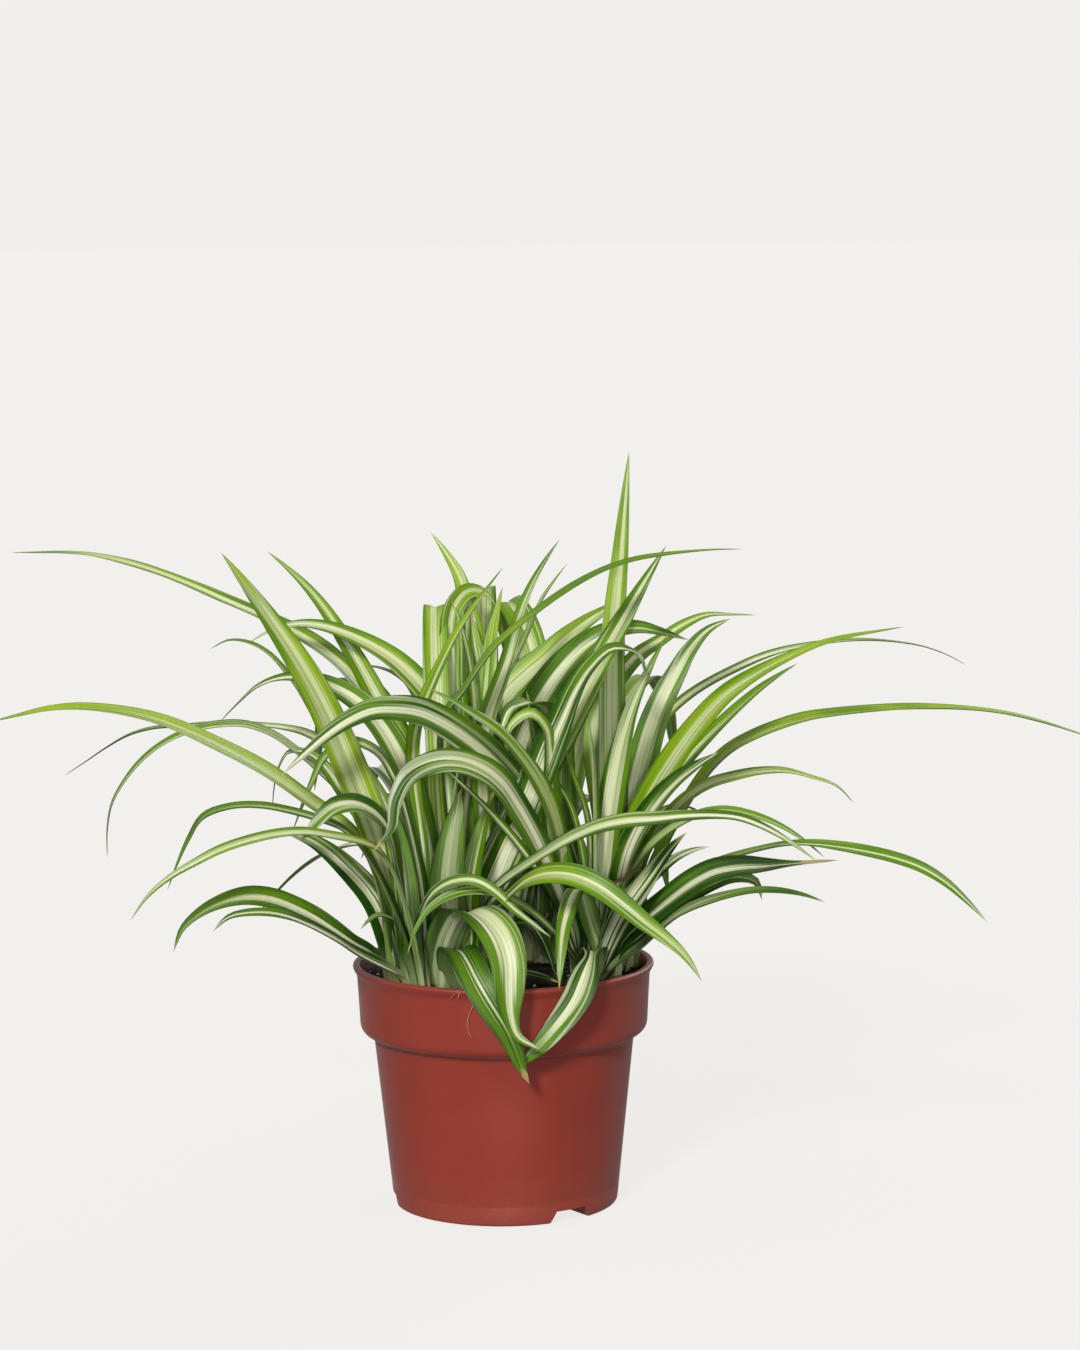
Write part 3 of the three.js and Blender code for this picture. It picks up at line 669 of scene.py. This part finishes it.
def readLeaf(name):
    # Four corners to each section, from the flat foot to a single corner at the tip. Gives the midrib's
    # points, the directions across the blade and up from its upper face, and its full width.
    mesh = nodes[name].data
    places = {}
    own = [places.setdefault(tuple(round(c / mm, 3) for c in v.co), len(places)) for v in mesh.vertices]
    points = np.array(list(places), float)
    near = [set() for _ in points]
    for face in mesh.polygons:
        corners = [own[i] for i in face.vertices]
        for a, b in zip(corners, corners[1:] + corners[:1]):
            near[a].add(b)
            near[b].add(a)
    layer = [i for i, point in enumerate(points) if abs(point[2] - leaf["footHeight"]) < 0.01]
    seen, rings = set(layer), []
    while layer:
        rings.append(layer)
        layer = sorted({j for i in layer for j in near[i]} - seen)
        seen.update(layer)
    middles, sides, faces, widths = [], [], [], []
    for number, ring in enumerate(rings[:-1]):
        corners = points[ring]
        gaps = {(a, b): np.linalg.norm(corners[a] - corners[b]) for a in range(4) for b in range(a)}
        a, b = max(gaps, key=gaps.get)
        c, d = [i for i in range(4) if i not in (a, b)]
        side = (corners[a] - corners[b]) / 2
        if sides and np.dot(side, sides[-1]) < 0:
            side = -side
        middle = (corners[c] + corners[d]) / 2
        middles.append(middle)
        sides.append(side)
        faces.append((corners[a] + corners[b]) / 2 - middle)
        share = widthShare(number / (len(rings) - 1), leaf["packedFoot"])
        widths.append(2 * np.linalg.norm(side) / share)
    middles.append(points[rings[-1][0]])
    return np.array(middles), unit(np.array(sides)), unit(np.array(faces)), float(np.median(widths))


def bladeOf(middles, sides, faces, width, seed, pinch=(0.5, 1, 0)):
    # A closed thin blade: an upper and a lower skin that share their margins, and one point at the tip. A
    # pinch narrows it round a share of its length, over a share of its length, by a share of its width.
    rng = random.Random(seed)
    at = distances(middles)
    length = at[-1]
    count = max(26, int(length / leaf["step"]))
    wanted = np.linspace(0, length, count + 1)
    t = wanted / length
    spine = curve(middles, at, wanted)
    along = unit(np.gradient(spine, axis=0))
    side = curve(np.vstack([sides, sides[-1:]]), at, wanted)
    side = unit(side - along * np.sum(side * along, axis=1, keepdims=True))
    up = curve(np.vstack([faces, faces[-1:]]), at, wanted)
    face = np.cross(along, side)
    face *= -1 if np.sum(face * up) < 0 else 1
    where, spread, depth = pinch
    half = width / 2 * widthShare(t, leaf["foot"]) * (1 - depth * np.exp(-((t - where) / spread) ** 2))
    fold = leaf["footChannel"] + (leaf["middleChannel"] - leaf["footChannel"]) * smooth(0, 0.4, t)
    phase = [rng.uniform(0, 2 * math.pi) for _ in range(4)]
    waveLength = leaf["waveLength"] * rng.uniform(0.8, 1.3)
    a = np.array(leaf["across"], float)
    bow = (np.sqrt(a * a + 0.012) - math.sqrt(0.012)) / (math.sqrt(1.012) - math.sqrt(0.012))
    calm = smooth(0.06, 0.3, t)
    thick = leaf["thickFoot"] + (leaf["thickTip"] - leaf["thickFoot"]) * t
    rows, facts = [], []
    for i in range(count):
        wide = half[i]
        quick = np.sin(2 * math.pi * wanted[i] / waveLength + np.where(a < 0, phase[0], phase[1]))
        slow = np.sin(2 * math.pi * wanted[i] / (2.7 * waveLength) + np.where(a < 0, phase[2], phase[3]))
        rise = 2 * wide * fold[i] * bow
        rise += leaf["swell"] * wide * (1 - (2 * np.abs(a) - 1) ** 2) * calm[i]
        rise += leaf["wave"] * wide * a * a * (quick + 1.4 * slow) * calm[i]
        rise -= leaf["groove"] * np.exp(-(a / 0.09) ** 2) * calm[i] * min(1, wide / 4)
        skin = leaf["thickEdge"] + (thick[i] - leaf["thickEdge"]) * (1 - np.abs(a)) ** 0.6
        line = spine[i] + np.outer(a * wide, side[i]) + np.outer(rise, face[i])
        upper = line + np.outer(skin / 2, face[i])
        lower = (line - np.outer(skin / 2, face[i]))[-2:0:-1]
        rows += [upper, lower]
        facts += [(x, t[i], 0) for x in a] + [(x, t[i], 1) for x in a[-2:0:-1]]
    ring = 2 * len(a) - 2
    vertices = np.vstack(rows + [spine[-1:]])
    facts.append((0, 1, 0))
    polygons = [tuple(range(ring))]
    for i in range(count - 1):
        for j in range(ring):
            low, high = i * ring + j, i * ring + (j + 1) % ring
            polygons.append((low, low + ring, high + ring, high))
    last = (count - 1) * ring
    polygons += [(last + j, len(vertices) - 1, last + (j + 1) % ring) for j in range(ring)]
    return vertices, polygons, np.array(facts), length


def addLeaf(name, shape, width, look, dryLength, seed, stands=()):
    vertices, polygons, facts, length = shape
    edit = bmesh.new()
    corners = [edit.verts.new(Vector(v) * mm) for v in vertices]
    for polygon in polygons:
        edit.faces.new([corners[i] for i in polygon])
    made = addPiece(name, edit, leaf["creaseAngle"], waxy, stands)
    share, t, under = facts.T
    same = np.ones(len(facts))
    stripe, tone = look[:2]
    for key, columns in (
        ("leafPlace", (share, share * width / 2 * widthShare(t, leaf["foot"]), t * length)),
        ("leafLook", (stripe * same, tone * same, random.Random(seed).uniform(0, 9) * same)),
        ("leafEnds", (under, (1 - t) * length - dryLength, t)),
    ):
        layer = made.data.attributes.new(key, "FLOAT_VECTOR", "POINT")
        layer.data.foreach_set("vector", np.column_stack(columns).astype(np.float32).ravel())


# The stripe's share of the half width, and how bright the green is, where a leaf has a look of its own. A
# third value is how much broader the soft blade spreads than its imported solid.
leafLooks = {
    "left_01": (0.34, 0.62), "left_02": (0.46, 0.74, 1.05), "left_03": (0.42, 0.66),
    "left_04": (0.42, 0.42, 1.15), "left_05": (0.4, 0.5, 1.15), "left_06": (0.26, 0.85),
    "left_07": (0.36, 0.4), "left_09": (0.24, 0.26, 1.15), "left_10": (0.08, 0.3), "left_11": (0.38, 0.62),
    "left_12": (0.26, 0.26, 1.1), "left_13": (0.24, 0.28, 1.1), "left_14": (0.28, 0.3),
    "top_01": (0.46, 0.82), "top_02": (0.34, 0.72), "top_03": (0.46, 0.6), "top_04": (0.28, 0.76),
    "top_06": (0.08, 0.6), "top_07": (0.48, 0.6, 1.1), "top_08": (0.42, 0.46, 1.4),
    "top_09": (0.36, 0.34, 1.7), "top_10": (0.44, 0.66, 1.4), "top_11": (0.4, 0.26, 1.6),
    "top_12": (0.42, 0.46, 1.7),
    "front_01": (0.4, 0.34), "front_02": (0.42, 0.3, 1.15), "front_03": (0.4, 0.56, 1.1),
    "front_04": (0.3, 0.22, 1.1), "front_05": (0.46, 0.42, 1.15), "front_06": (0.14, 0.34, 1.2),
    "front_07": (0.3, 0.3, 1.15), "front_08": (0.26, 0.56),
    "right_01": (0.42, 0.56, 1.1), "right_02": (0.5, 0.42, 1.1), "right_03": (0.46, 0.46, 1.45),
    "right_04": (0.26, 0.42), "right_05": (0.12, 0.74), "right_06": (0.06, 0.72),
    "right_07": (0.3, 0.2, 1.9), "right_08": (0.3, 0.84, 1.15), "right_09": (0.3, 0.5),
    "right_10": (0.16, 0.16, 1.15), "right_11": (0.2, 0.22, 1.2), "right_12": (0.28, 0.62, 1.3),
}
pinches = {
    "front_05": (0.9, 0.08, 0.3),
    "front_07": (0.34, 0.1, 0.55),
    "right_05": (0.86, 0.24, 0.55),
    "right_10": (0.88, 0.1, 0.5),
}
dryEnds = {"right_10": 15, "right_04": 6, "front_06": 5}  # how much of the tip has dried
leafTrees = []
for number, name in enumerate(sorted(n for n in nodes if n.startswith("leaf_"))):
    own = name[len("leaf_"):]
    rng = random.Random(number + 11)
    look = leafLooks.get(own, (rng.uniform(0.26, 0.46), rng.uniform(0.28, 0.66)))
    middles, sides, faces, width = readLeaf(name)
    width *= look[2] if len(look) > 2 else 1
    shape = bladeOf(middles, sides, faces, width, number, pinches.get(own, (0.5, 1, 0)))
    dryLength = dryEnds.get(own, rng.uniform(0, 3))
    addLeaf(name + "_blade", shape, width, look, dryLength, number, [name])
    leafTrees.append(BVHTree.FromPolygons([tuple(v) for v in shape[0]], shape[1]))
print("packed leaves finished:", len(leafTrees))


# Crowns: short fleshy stems wrapped in the pale feet of old leaves
crown = {
    "ribs": 5,
    "ribDepth": 0.14,
    "pale": "#a9b270",
    "green": "#4f7224",
    "papery": "#7d6a45",
    "greenHeight": 13,  # above the soil
    "scrapHeight": 7,
    "scrap": 2.38,  # size of the papery scraps
    "scrapShare": (0.45, 0.62),  # at their highest and at the soil
    "scrapDepth": 0.4,
    "roughness": 0.5,
    "flesh": 0.15,
    "fleshDepth": 2,
    "foot": (0.9, 3),  # share of the radius, and how deep it stands in the soil
    "profile": ((1, 0), (0.95, 0.2), (0.84, 0.5), (0.66, 0.8), (0.4, 0.96)),  # shares of radius and height
    "creaseAngle": 60,  # degrees
}


def fleshyCrown():
    # Pale, slightly glossy tissue, green towards the top, with brown papery scraps at the soil.
    made, add, shader = newMaterial("fleshyCrown")
    place = add("TexCoord").outputs["Object"]
    height = add("SeparateXYZ", place).outputs["Z"]
    foot = leaf["footHeight"] * mm
    up = add("MapRange", height, foot, foot + crown["greenHeight"] * mm)
    scraps = add("TexNoise", {"Vector": place, "Scale": 1 / (crown["scrap"] * mm), "Detail": 3.0})
    low = add("MapRange", height, foot + crown["scrapHeight"] * mm, foot, *crown["scrapShare"])
    torn = add("Math", scraps, low, operation="LESS_THAN")
    fresh = add("Mix", {0: up, 6: crown["pale"], 7: crown["green"]}, data_type="RGBA")
    setSockets(shader, {
        "Base Color": add("Mix", {0: torn, 6: fresh, 7: crown["papery"]}, data_type="RGBA"),
        "Normal": add("Bump", {"Height": scraps, "Strength": 0.5, "Distance": crown["scrapDepth"] * mm}),
        "Roughness": crown["roughness"],
        "Subsurface Weight": crown["flesh"],
        "Subsurface Scale": crown["fleshDepth"] * mm,
    })
    return made


def addCrown(name, material):
    low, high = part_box(name)
    radius = (high.x - low.x) / 2 / mm
    height = (high.z - low.z) / mm
    footShare, sunk = crown["foot"]
    side = [(radius * out, height * up) for out, up in crown["profile"]]
    mesh = lathe([(0, -sunk), (radius * footShare, -sunk)] + side + [(0, height)], 40)
    for v in mesh.verts:
        angle = math.atan2(v.co.y, v.co.x)
        twist = angle * crown["ribs"] / 2 + v.co.z / mm * 0.25
        v.co.xy *= 1 - crown["ribDepth"] * abs(math.cos(twist)) ** 3
    bmesh.ops.translate(mesh, verts=mesh.verts, vec=((low.x + high.x) / 2, (low.y + high.y) / 2, low.z))
    addPiece(name + "_stem", mesh, crown["creaseAngle"], material, [name])


crownTissue = fleshyCrown()
for name in sorted(n for n in nodes if n.startswith("crown_")):
    addCrown(name, crownTissue)
print("crowns grown")


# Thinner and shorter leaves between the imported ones: crown, full width, roll of the upper face towards the
# front at foot, middle and tip, stripe and tone, the spine above the foot, and how much of the tip has dried
thinLeaves = [
    ("backLeft", 8, (30, 30, 20), (0.35, 0.5), [(-46, 30, 133), (-70, 32, 181), (-87, 34, 208),
     (-97, 35, 217), (-108, 36, 219), (-116, 37, 215)]),
    ("backLeft", 5, (30, 30, 20), (0.2, 0.5), [(-24, 26, 150), (-30, 30, 185), (-41, 34, 205), (-52, 36, 209),
     (-63, 37, 208)]),
    ("left", 7, (30, 35, 30), (0.35, 0.55), [(-43, -5, 130), (-62, 0, 163), (-76, 4, 178), (-84, 6, 178),
     (-88, 8, 169), (-90, 9, 154)]),
    ("left", 15, (30, 45, 45), (0.3, 0.2), [(-37, -34, 122), (-41, -38, 142), (-44, -42, 157),
     (-52, -48, 166), (-60.5, -52, 168), (-68, -54, 163), (-75, -55, 155)]),
    ("left", 5, (30, 30, 30), (0.2, 0.4), [(-36, -34, 108), (-42, -38, 122), (-48, -40, 125),
     (-54, -42, 121)]),
    ("backLeft", 8, (50, 55, 50), (0.45, 0.6), [(-16, 6, 150), (-11, 8, 195), (-13, 12, 216), (-16, 14, 228),
     (-20, 16, 238)]),
    ("backLeft", 11, (50, 55, 50), (0.4, 0.7), [(-8, 12, 150), (-6, 18, 195), (-3, 24, 222), (1, 28, 238)]),
    ("front", 8, (50, 60, 50), (0.4, 0.45), [(-7, 0, 130), (-5, -3, 194), (2, -5, 213), (10, -8, 240),
     (16, -9, 252), (24, -10, 264)]),
    ("backLeft", 7, (50, 55, 50), (0.3, 0.6), [(-6, 6, 130), (-4, 6, 195), (10, 7, 223), (17, 8, 239),
     (27, 8, 253)]),
    ("right", 7, (50, 60, 60), (0.5, 0.5), [(36, -16, 125), (36, -19, 158), (35, -20, 187), (34, -21, 198)]),
    ("right", 6, (50, 60, 60), (0.4, 0.45), [(34, -14, 130), (32, -22, 161), (27, -24, 176), (23, -25, 191)]),
    ("right", 6, (40, 40, 40), (0.4, 0.4), [(33, -24, 115), (30, -28, 148), (25, -28, 165), (19, -28, 173),
     (12, -28, 178)]),
    ("right", 6, (45, 50, 40), (0.4, 0.4), [(24, -26, 118), (8, -35, 146), (-5, -35, 162), (-22, -35, 179)]),
    ("right", 5, (40, 45, 40), (0.3, 0.4), [(22, -34, 112), (6, -40, 128), (-8, -41, 134), (-20, -41, 133),
     (-30, -41, 126), (-36, -41, 112)]),
    ("left", 6, (40, 45, 40), (0.3, 0.4), [(-32, -36, 118), (-24, -43, 134), (-12, -45, 139), (-5, -45, 137),
     (5, -45, 129), (19, -45, 119)]),
    ("farRight", 13, (35, 35, 25), (0.14, 0.5), [(48, -2, 130), (62, 0, 160), (91, 2, 193), (105, 3, 205),
     (117, 3, 213)]),
    ("right", 6, (35, 35, 30), (0.35, 0.5), [(46, -26, 125), (62, -34, 151), (83, -38, 161), (103, -39, 157),
     (114, -40, 151), (124, -41, 143)]),
    ("right", 11, (45, 45, 45), (0.18, 0.18), [(44, -28, 101), (60, -36, 117), (71, -38, 126), (81, -41, 132),
     (90, -44, 135), (99, -46, 132), (100, -47, 126)]),
    ("backLeft", 15, (70, 75, 50), (0.35, 0.6), [(-16, 18, 140), (-19, 20, 185), (-20, 22, 215),
     (-18, 25, 236), (-11, 29, 242), (-4, 33, 238), (0, 36, 228)]),
    ("backLeft", 10, (40, 45, 30), (0.3, 0.6), [(-8, 20, 140), (-6, 24, 185), (-8, 28, 215), (-12, 34, 234)]),
    ("backRight", 11, (40, 45, 30), (0.4, 0.5), [(12, 28, 140), (8, 28, 180), (4, 30, 208), (0, 36, 228)]),
    ("backRight", 10, (40, 45, 30), (0.3, 0.4), [(18, 30, 140), (22, 30, 180), (26, 32, 205), (32, 38, 220)]),
    ("farRight", 10, (40, 45, 30), (0.4, 0.5), [(44, 10, 130), (46, 10, 165), (44, 14, 192), (40, 20, 210)]),
    ("backRight", 12, (40, 45, 30), (0.4, 0.25), [(10, 26, 118), (6, 22, 150), (2, 20, 180), (-4, 22, 205)]),
    ("backRight", 11, (40, 45, 30), (0.34, 0.4), [(14, 24, 118), (16, 16, 150), (14, 12, 180),
     (10, 14, 206)]),
    ("backLeft", 12, (40, 45, 30), (0.44, 0.3), [(-12, 20, 118), (-6, 14, 150), (-2, 10, 176), (2, 8, 196)]),
    ("front", 10, (45, 45, 40), (0.36, 0.5), [(-8, -16, 112), (0, -12, 135), (8, -12, 162), (12, -14, 184)]),
    ("right", 10, (45, 45, 40), (0.4, 0.3), [(30, -10, 112), (24, -4, 135), (18, 0, 160), (10, 2, 186)]),
    ("right", 14, (75, 70, 30), (0.42, 0.5), [(24, -22, 125), (19, -27, 155), (18, -30, 180),
     (17.5, -31, 193), (14, -32, 200), (9, -33, 200), (4, -34, 196), (1.5, -35, 189)]),
    ("backRight", 14, (30, 35, 30), (0.3, 0.15), [(11, 20, 102), (8, 16, 112), (5, 12, 128), (2, 10, 150)]),
    ("front", 12, (30, 35, 30), (0.36, 0.3), [(-5, -14, 102), (2, -12, 112), (7, -10, 128), (9, -6, 150),
     (7, -2, 168)]),
    ("backLeft", 12, (30, 35, 30), (0.25, 0.2), [(-30, 16, 120), (-44, 12, 150), (-55, 10, 171),
     (-66, 10, 188)]),
    ("backLeft", 12, (35, 40, 35), (0.3, 0.3), [(-28, 14, 125), (-38, 10, 155), (-47, 8, 181),
     (-58, 6, 206)]),
    ("left", 11, (35, 40, 35), (0.35, 0.35), [(-30, -2, 120), (-35, 0, 148), (-39, 1, 170), (-44, 0, 190)]),
    ("left", 11, (30, 35, 30), (0.2, 0.15), [(-36, -10, 118), (-39, -8, 135), (-43, -6, 155),
     (-50, -4, 172)]),
    ("backRight", 13, (20, 20, 20), (0.3, 0.3), [(20, 22, 104), (26, 18, 124), (29, 14, 152), (27, 12, 184),
     (22, 14, 206)]),
    ("right", 3.5, (30, 30, 60), (0.3, 0.1), [(38, -28, 110), (41, -32, 124), (42, -34, 132), (46, -35, 133),
     (49.5, -35, 136.5), (53, -35, 138), (57, -34, 136)], 24),
    ("backLeft", 14, (70, 70, 50), (0.42, 0.5), [(-14, 20, 140), (-15, 24, 180), (-15, 27, 210),
     (-13, 30, 237)]),
    ("right", 13, (60, 65, 60), (0.42, 0.2), [(41, -25, 104), (47, -30, 119), (58, -32, 136), (66, -33, 148),
     (71, -33, 154)], 3),
    ("right", 8, (40, 40, 40), (0.3, 0.2), [(46, -20, 115), (60, -24, 135), (72, -26, 145), (81, -27, 148)]),
    ("left", 11, (70, 70, 60), (0.4, 0.5), [(-35.5, -36, 100), (-37, -39, 118), (-39, -40, 138),
     (-44, -40, 158), (-52, -40, 177)]),
    ("front", 14, (85, 85, 70), (0.5, 0.35), [(-17, -24, 104), (-20, -26, 130), (-19, -26, 160),
     (-15, -24, 186)]),
    ("front", 7, (30, 20, 10), (0.3, 0.1), [(-4, -24, 108), (5, -28, 116), (10, -30, 116.5), (15, -32, 111),
     (19, -33, 101), (21, -34, 94)]),
    ("front", 7, (20, 20, 20), (0.26, 0.15), [(-4, -26, 97), (6, -30, 97), (14, -33, 96), (22, -35, 94)]),
    ("front", 15, (0, 0, 0), (0.5, 0.25), [(-18, -26, 104), (-21, -31, 128), (-19, -36, 150),
     (-15, -37, 172)]),
    ("front", 12, (80, 80, 70), (0.22, 0.6), [(-12, -31, 104), (-12, -38, 128), (-8, -40, 148),
     (-2, -38, 166)]),
]
thinLeafRules = {
    "pushes": (0, 2, -2, 4, -4, 6, -6, 9, -9, 12, -12),  # how far a tip may move back or forward
    "lifts": (0, -3, 3),
    "crowded": 22,  # length of the foot that may touch its neighbours
    "fans": (("backLeft", 118, 5), ("backRight", 85, 6), ("farRight", 72, 3)),  # crown, middle turn, leaves
    "fanStep": 17,  # degrees
    "fanTurn": (-6, 6),
    "reach": (50, 105),
    "rise": (75, 120),
    "droop": (0.35, 0.95),
    "width": (7, 12),
    "stripe": (0.25, 0.5),
    "tone": (0.3, 0.65),
    "seed": 21,
}


def drawLeaf(crownName, spine, roll):
    # the points, directions across and directions up of a leaf from a crown through given points
    low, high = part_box("crown_" + crownName)
    centre = np.array([(low.x + high.x) / 2, (low.y + high.y) / 2, low.z]) / mm
    tip = np.array(spine[-1], float)
    heading = math.atan2(tip[1] - centre[1], tip[0] - centre[0])
    first = np.array([spine[0][0] - centre[0], spine[0][1] - centre[1], 0.01])
    points = np.vstack([centre + unit(first) * 4, np.asarray(spine, float)])
    at = distances(points)
    wanted = np.linspace(0, at[-1], max(12, int(at[-1] / 8)))
    middles = curve(points, at, wanted)
    along = unit(np.gradient(middles, axis=0))
    across = np.array([-math.sin(heading), math.cos(heading), 0])
    side = unit(across - along * (along @ across)[:, None])
    turn = (-1 if math.cos(heading) < 0 else 1) * np.radians(np.interp(wanted / at[-1], (0, 0.5, 1), roll))
    rolled = side * np.cos(turn)[:, None] + np.cross(along, side) * np.sin(turn)[:, None]
    return middles, rolled[:-1], np.cross(along, rolled)[:-1]


def archOf(crownName, azimuth, reach, rise, droop):
    # a spine that climbs from its crown, leans out and comes down towards the tip
    low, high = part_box("crown_" + crownName)
    x, y = (low.x + high.x) / 2 / mm, (low.y + high.y) / 2 / mm
    way = (math.cos(azimuth), math.sin(azimuth))
    spine = []
    for s in (0.18, 0.36, 0.54, 0.7, 0.85, 1):
        out = 5 + reach * s ** 1.4
        height = leaf["footHeight"] + rise * (2 * s - (1 + droop) * s * s)
        spine.append((x + out * way[0], y + out * way[1], height))
    return spine


def contacts(shape):
    # how many faces meet another leaf, past the crowded feet
    vertices, polygons, facts, length = shape
    tree = BVHTree.FromPolygons([tuple(v) for v in vertices], polygons)
    free = [facts[polygon[0]][1] * length > thinLeafRules["crowded"] for polygon in polygons]
    return sum(1 for other in leafTrees for own, _ in tree.overlap(other) if free[own]), tree


def addThinLeaf(number, crownName, width, roll, look, spine, dryLength=None):
    # the leaf gives way to those in place: it takes the first of its small moves that touches none
    best = None
    for push in thinLeafRules["pushes"]:
        for lift in thinLeafRules["lifts"]:
            moved = [(x, y + push * (i + 1) / len(spine), z + lift * (i + 1) / len(spine))
                     for i, (x, y, z) in enumerate(spine)]
            shape = bladeOf(*drawLeaf(crownName, moved, roll), width, 100 + number)
            count, tree = contacts(shape)
            if best is None or count < best[0]:
                best = (count, tree, shape)
            if count == 0:
                break
        if best[0] == 0:
            break
    leafTrees.append(best[1])
    if dryLength is None:
        dryLength = random.Random(number).uniform(0, 4)
    addLeaf(f"leaf_thin_{number:02d}", best[2], width, look, dryLength, 100 + number)
    return best[0]


def addThinLeaves():
    rng = random.Random(thinLeafRules["seed"])
    plan = list(thinLeaves)
    for crownName, middle, count in thinLeafRules["fans"]:
        for i in range(count):
            turn, reach, rise, droop, stripe, tone, width = [
                rng.uniform(*thinLeafRules[key])
                for key in ("fanTurn", "reach", "rise", "droop", "stripe", "tone", "width")
            ]
            azimuth = math.radians(middle + (i - (count - 1) / 2) * thinLeafRules["fanStep"] + turn)
            spine = archOf(crownName, azimuth, reach, rise, droop)
            plan.append((crownName, width, (10, 10, 5), (stripe, tone), spine))
    crossed = [addThinLeaf(number, *row) for number, row in enumerate(plan, 1)]
    print("thin leaves grown:", len(crossed), "still touching:", sum(1 for c in crossed if c))


addThinLeaves()


# Root hairs: thin dry roots that came over the lip and lie on the collar
rootHair = {
    "thickness": 0.45,
    "colour": "#a8633f",
    "pale": "#c7a283",
    "patch": 1.43,
    "roughness": 0.8,
    "creaseAngle": 60,  # degrees
    "sections": 50,
    "taper": 0.6,  # how much thinner it ends
    "paths": [
        [(-9, 95.5, 1.2), (-10.5, 94, 0.8), (-11.2, 90, 0.7), (-12.8, 86, 0.6), (-13.4, 82, 0.5),
         (-12.6, 79, 0.6), (-11.8, 77.5, 0.9)],
        [(-15.2, 96, 0.5), (-16.2, 95, 0.8), (-16.6, 93.4, 0.7), (-17.6, 92, 0.8)],
        [(-16.4, 96.2, 0.3), (-17.4, 94.9, 0.9), (-18.6, 94, 1), (-19.4, 92.8, 1.1)],
    ],  # x, height and how far it stands off the collar
}


def dryRoot():
    # A matt tan fibre, paler in patches.
    made, add, shader = newMaterial("dryRoot")
    place = add("TexCoord").outputs["Object"]
    tone = add("TexNoise", {"Vector": place, "Scale": 1 / (rootHair["patch"] * mm), "Detail": 2.0})
    colour = add("Mix", {0: tone, 6: rootHair["colour"], 7: rootHair["pale"]}, data_type="RGBA")
    setSockets(shader, {"Base Color": colour, "Roughness": rootHair["roughness"]})
    return made


def addRootHair(name, path, material):
    # a tapering strand with eight sides
    lipFoot = pot["height"] - pot["lip"]
    slope = (pot["collarTop"] - pot["collarFoot"]) / (lipFoot - pot["collarFootHeight"])
    points = []
    for x, z, off in path:
        radius = pot["collarFoot"] + slope * (z - pot["collarFootHeight"]) + off
        radius = max(radius, pot["rim"] + 0.3) if z > lipFoot else radius
        points.append((x, -math.sqrt(radius ** 2 - x ** 2), z))
    at = distances(np.array(points))
    turns = [math.radians(45 * k) for k in range(8)]
    mesh = bmesh.new()
    rings = []
    steps = np.linspace(0, 1, rootHair["sections"])
    for t, point in zip(steps, curve(points, at, np.linspace(0, at[-1], rootHair["sections"]))):
        radius = float(rootHair["thickness"] / 2 * (1 - rootHair["taper"] * t))
        ring = [Vector(point) + Vector((math.cos(a), math.sin(a), 0)) * radius for a in turns]
        rings.append([mesh.verts.new(corner * mm) for corner in ring])
    for low, high in zip(rings, rings[1:]):
        for k in range(8):
            mesh.faces.new((low[k], low[(k + 1) % 8], high[(k + 1) % 8], high[k]))
    mesh.faces.new(rings[0])
    mesh.faces.new(rings[-1])
    addPiece(name, mesh, rootHair["creaseAngle"], material)


driedRoot = dryRoot()
for number, path in enumerate(rootHair["paths"], 1):
    addRootHair(f"root_hair_{number}", path, driedRoot)
print("root hairs laid")

# Floor and light: a plain pale floor, a soft key from the front and a little left, and an even pale surround
studio = {
    "backdrop": "#f1efec",  # what the floor and the surround both look like
    "floor": 0.09,  # how light the paint is; the rest is an even glow, so that shadows stay faint
    "floorGlow": 0.908,
    "bounce": 0.12,  # how much of that glow lights the plant
    "skyLight": 0.5,
    "key": ((0.29, 1.0, -0.6), 2.5, 9),  # direction it shines in, strength, softness in degrees
    "front": ((-0.05, 1.0, -0.16), 0.75, 5),
    "rim": ((-0.7, -0.9, -0.6), 0.8, 30),
}


def addStudio():
    made, add, shader = newMaterial("paintedFloor")
    seen = add("LightPath").outputs["Is Camera Ray"]
    glow = add("MapRange", seen, {3: studio["bounce"], 4: studio["floorGlow"]})
    setSockets(shader, {
        "Emission Strength": glow,
        "Emission Color": studio["backdrop"],
        "Base Color": [studio["floor"]] * 3 + [1],
        "Roughness": 1,
        "Specular IOR Level": 0,
    })
    mesh = bmesh.new()
    bmesh.ops.create_circle(mesh, cap_ends=True, segments=96, radius=60)
    data = bpy.data.meshes.new("floor")
    mesh.to_mesh(data)
    data.materials.append(made)
    floor = bpy.data.objects.new("floor", data)
    floor.location.z = -0.0002
    bpy.context.scene.collection.objects.link(floor)
    world = bpy.data.worlds.new("studio")
    world.use_nodes = True
    tree = world.node_tree
    seen = addNode(tree, "LightPath").outputs["Is Camera Ray"]
    strength = addNode(tree, "MapRange", seen, {3: studio["skyLight"], 4: 1.0})
    setSockets(tree.nodes["Background"], {0: studio["backdrop"], 1: strength})
    bpy.context.scene.world = world
    bpy.context.scene.view_settings.view_transform = "Standard"
    for name in ("key", "front", "rim"):
        way, strength, softness = studio[name]
        lamp = bpy.data.lights.new(name, "SUN")
        lamp.energy = strength
        lamp.angle = math.radians(softness)
        holder = bpy.data.objects.new(name, lamp)
        holder.rotation_euler = Vector(way).to_track_quat("-Z", "Y").to_euler()
        bpy.context.scene.collection.objects.link(holder)


addStudio()
print("studio lit")
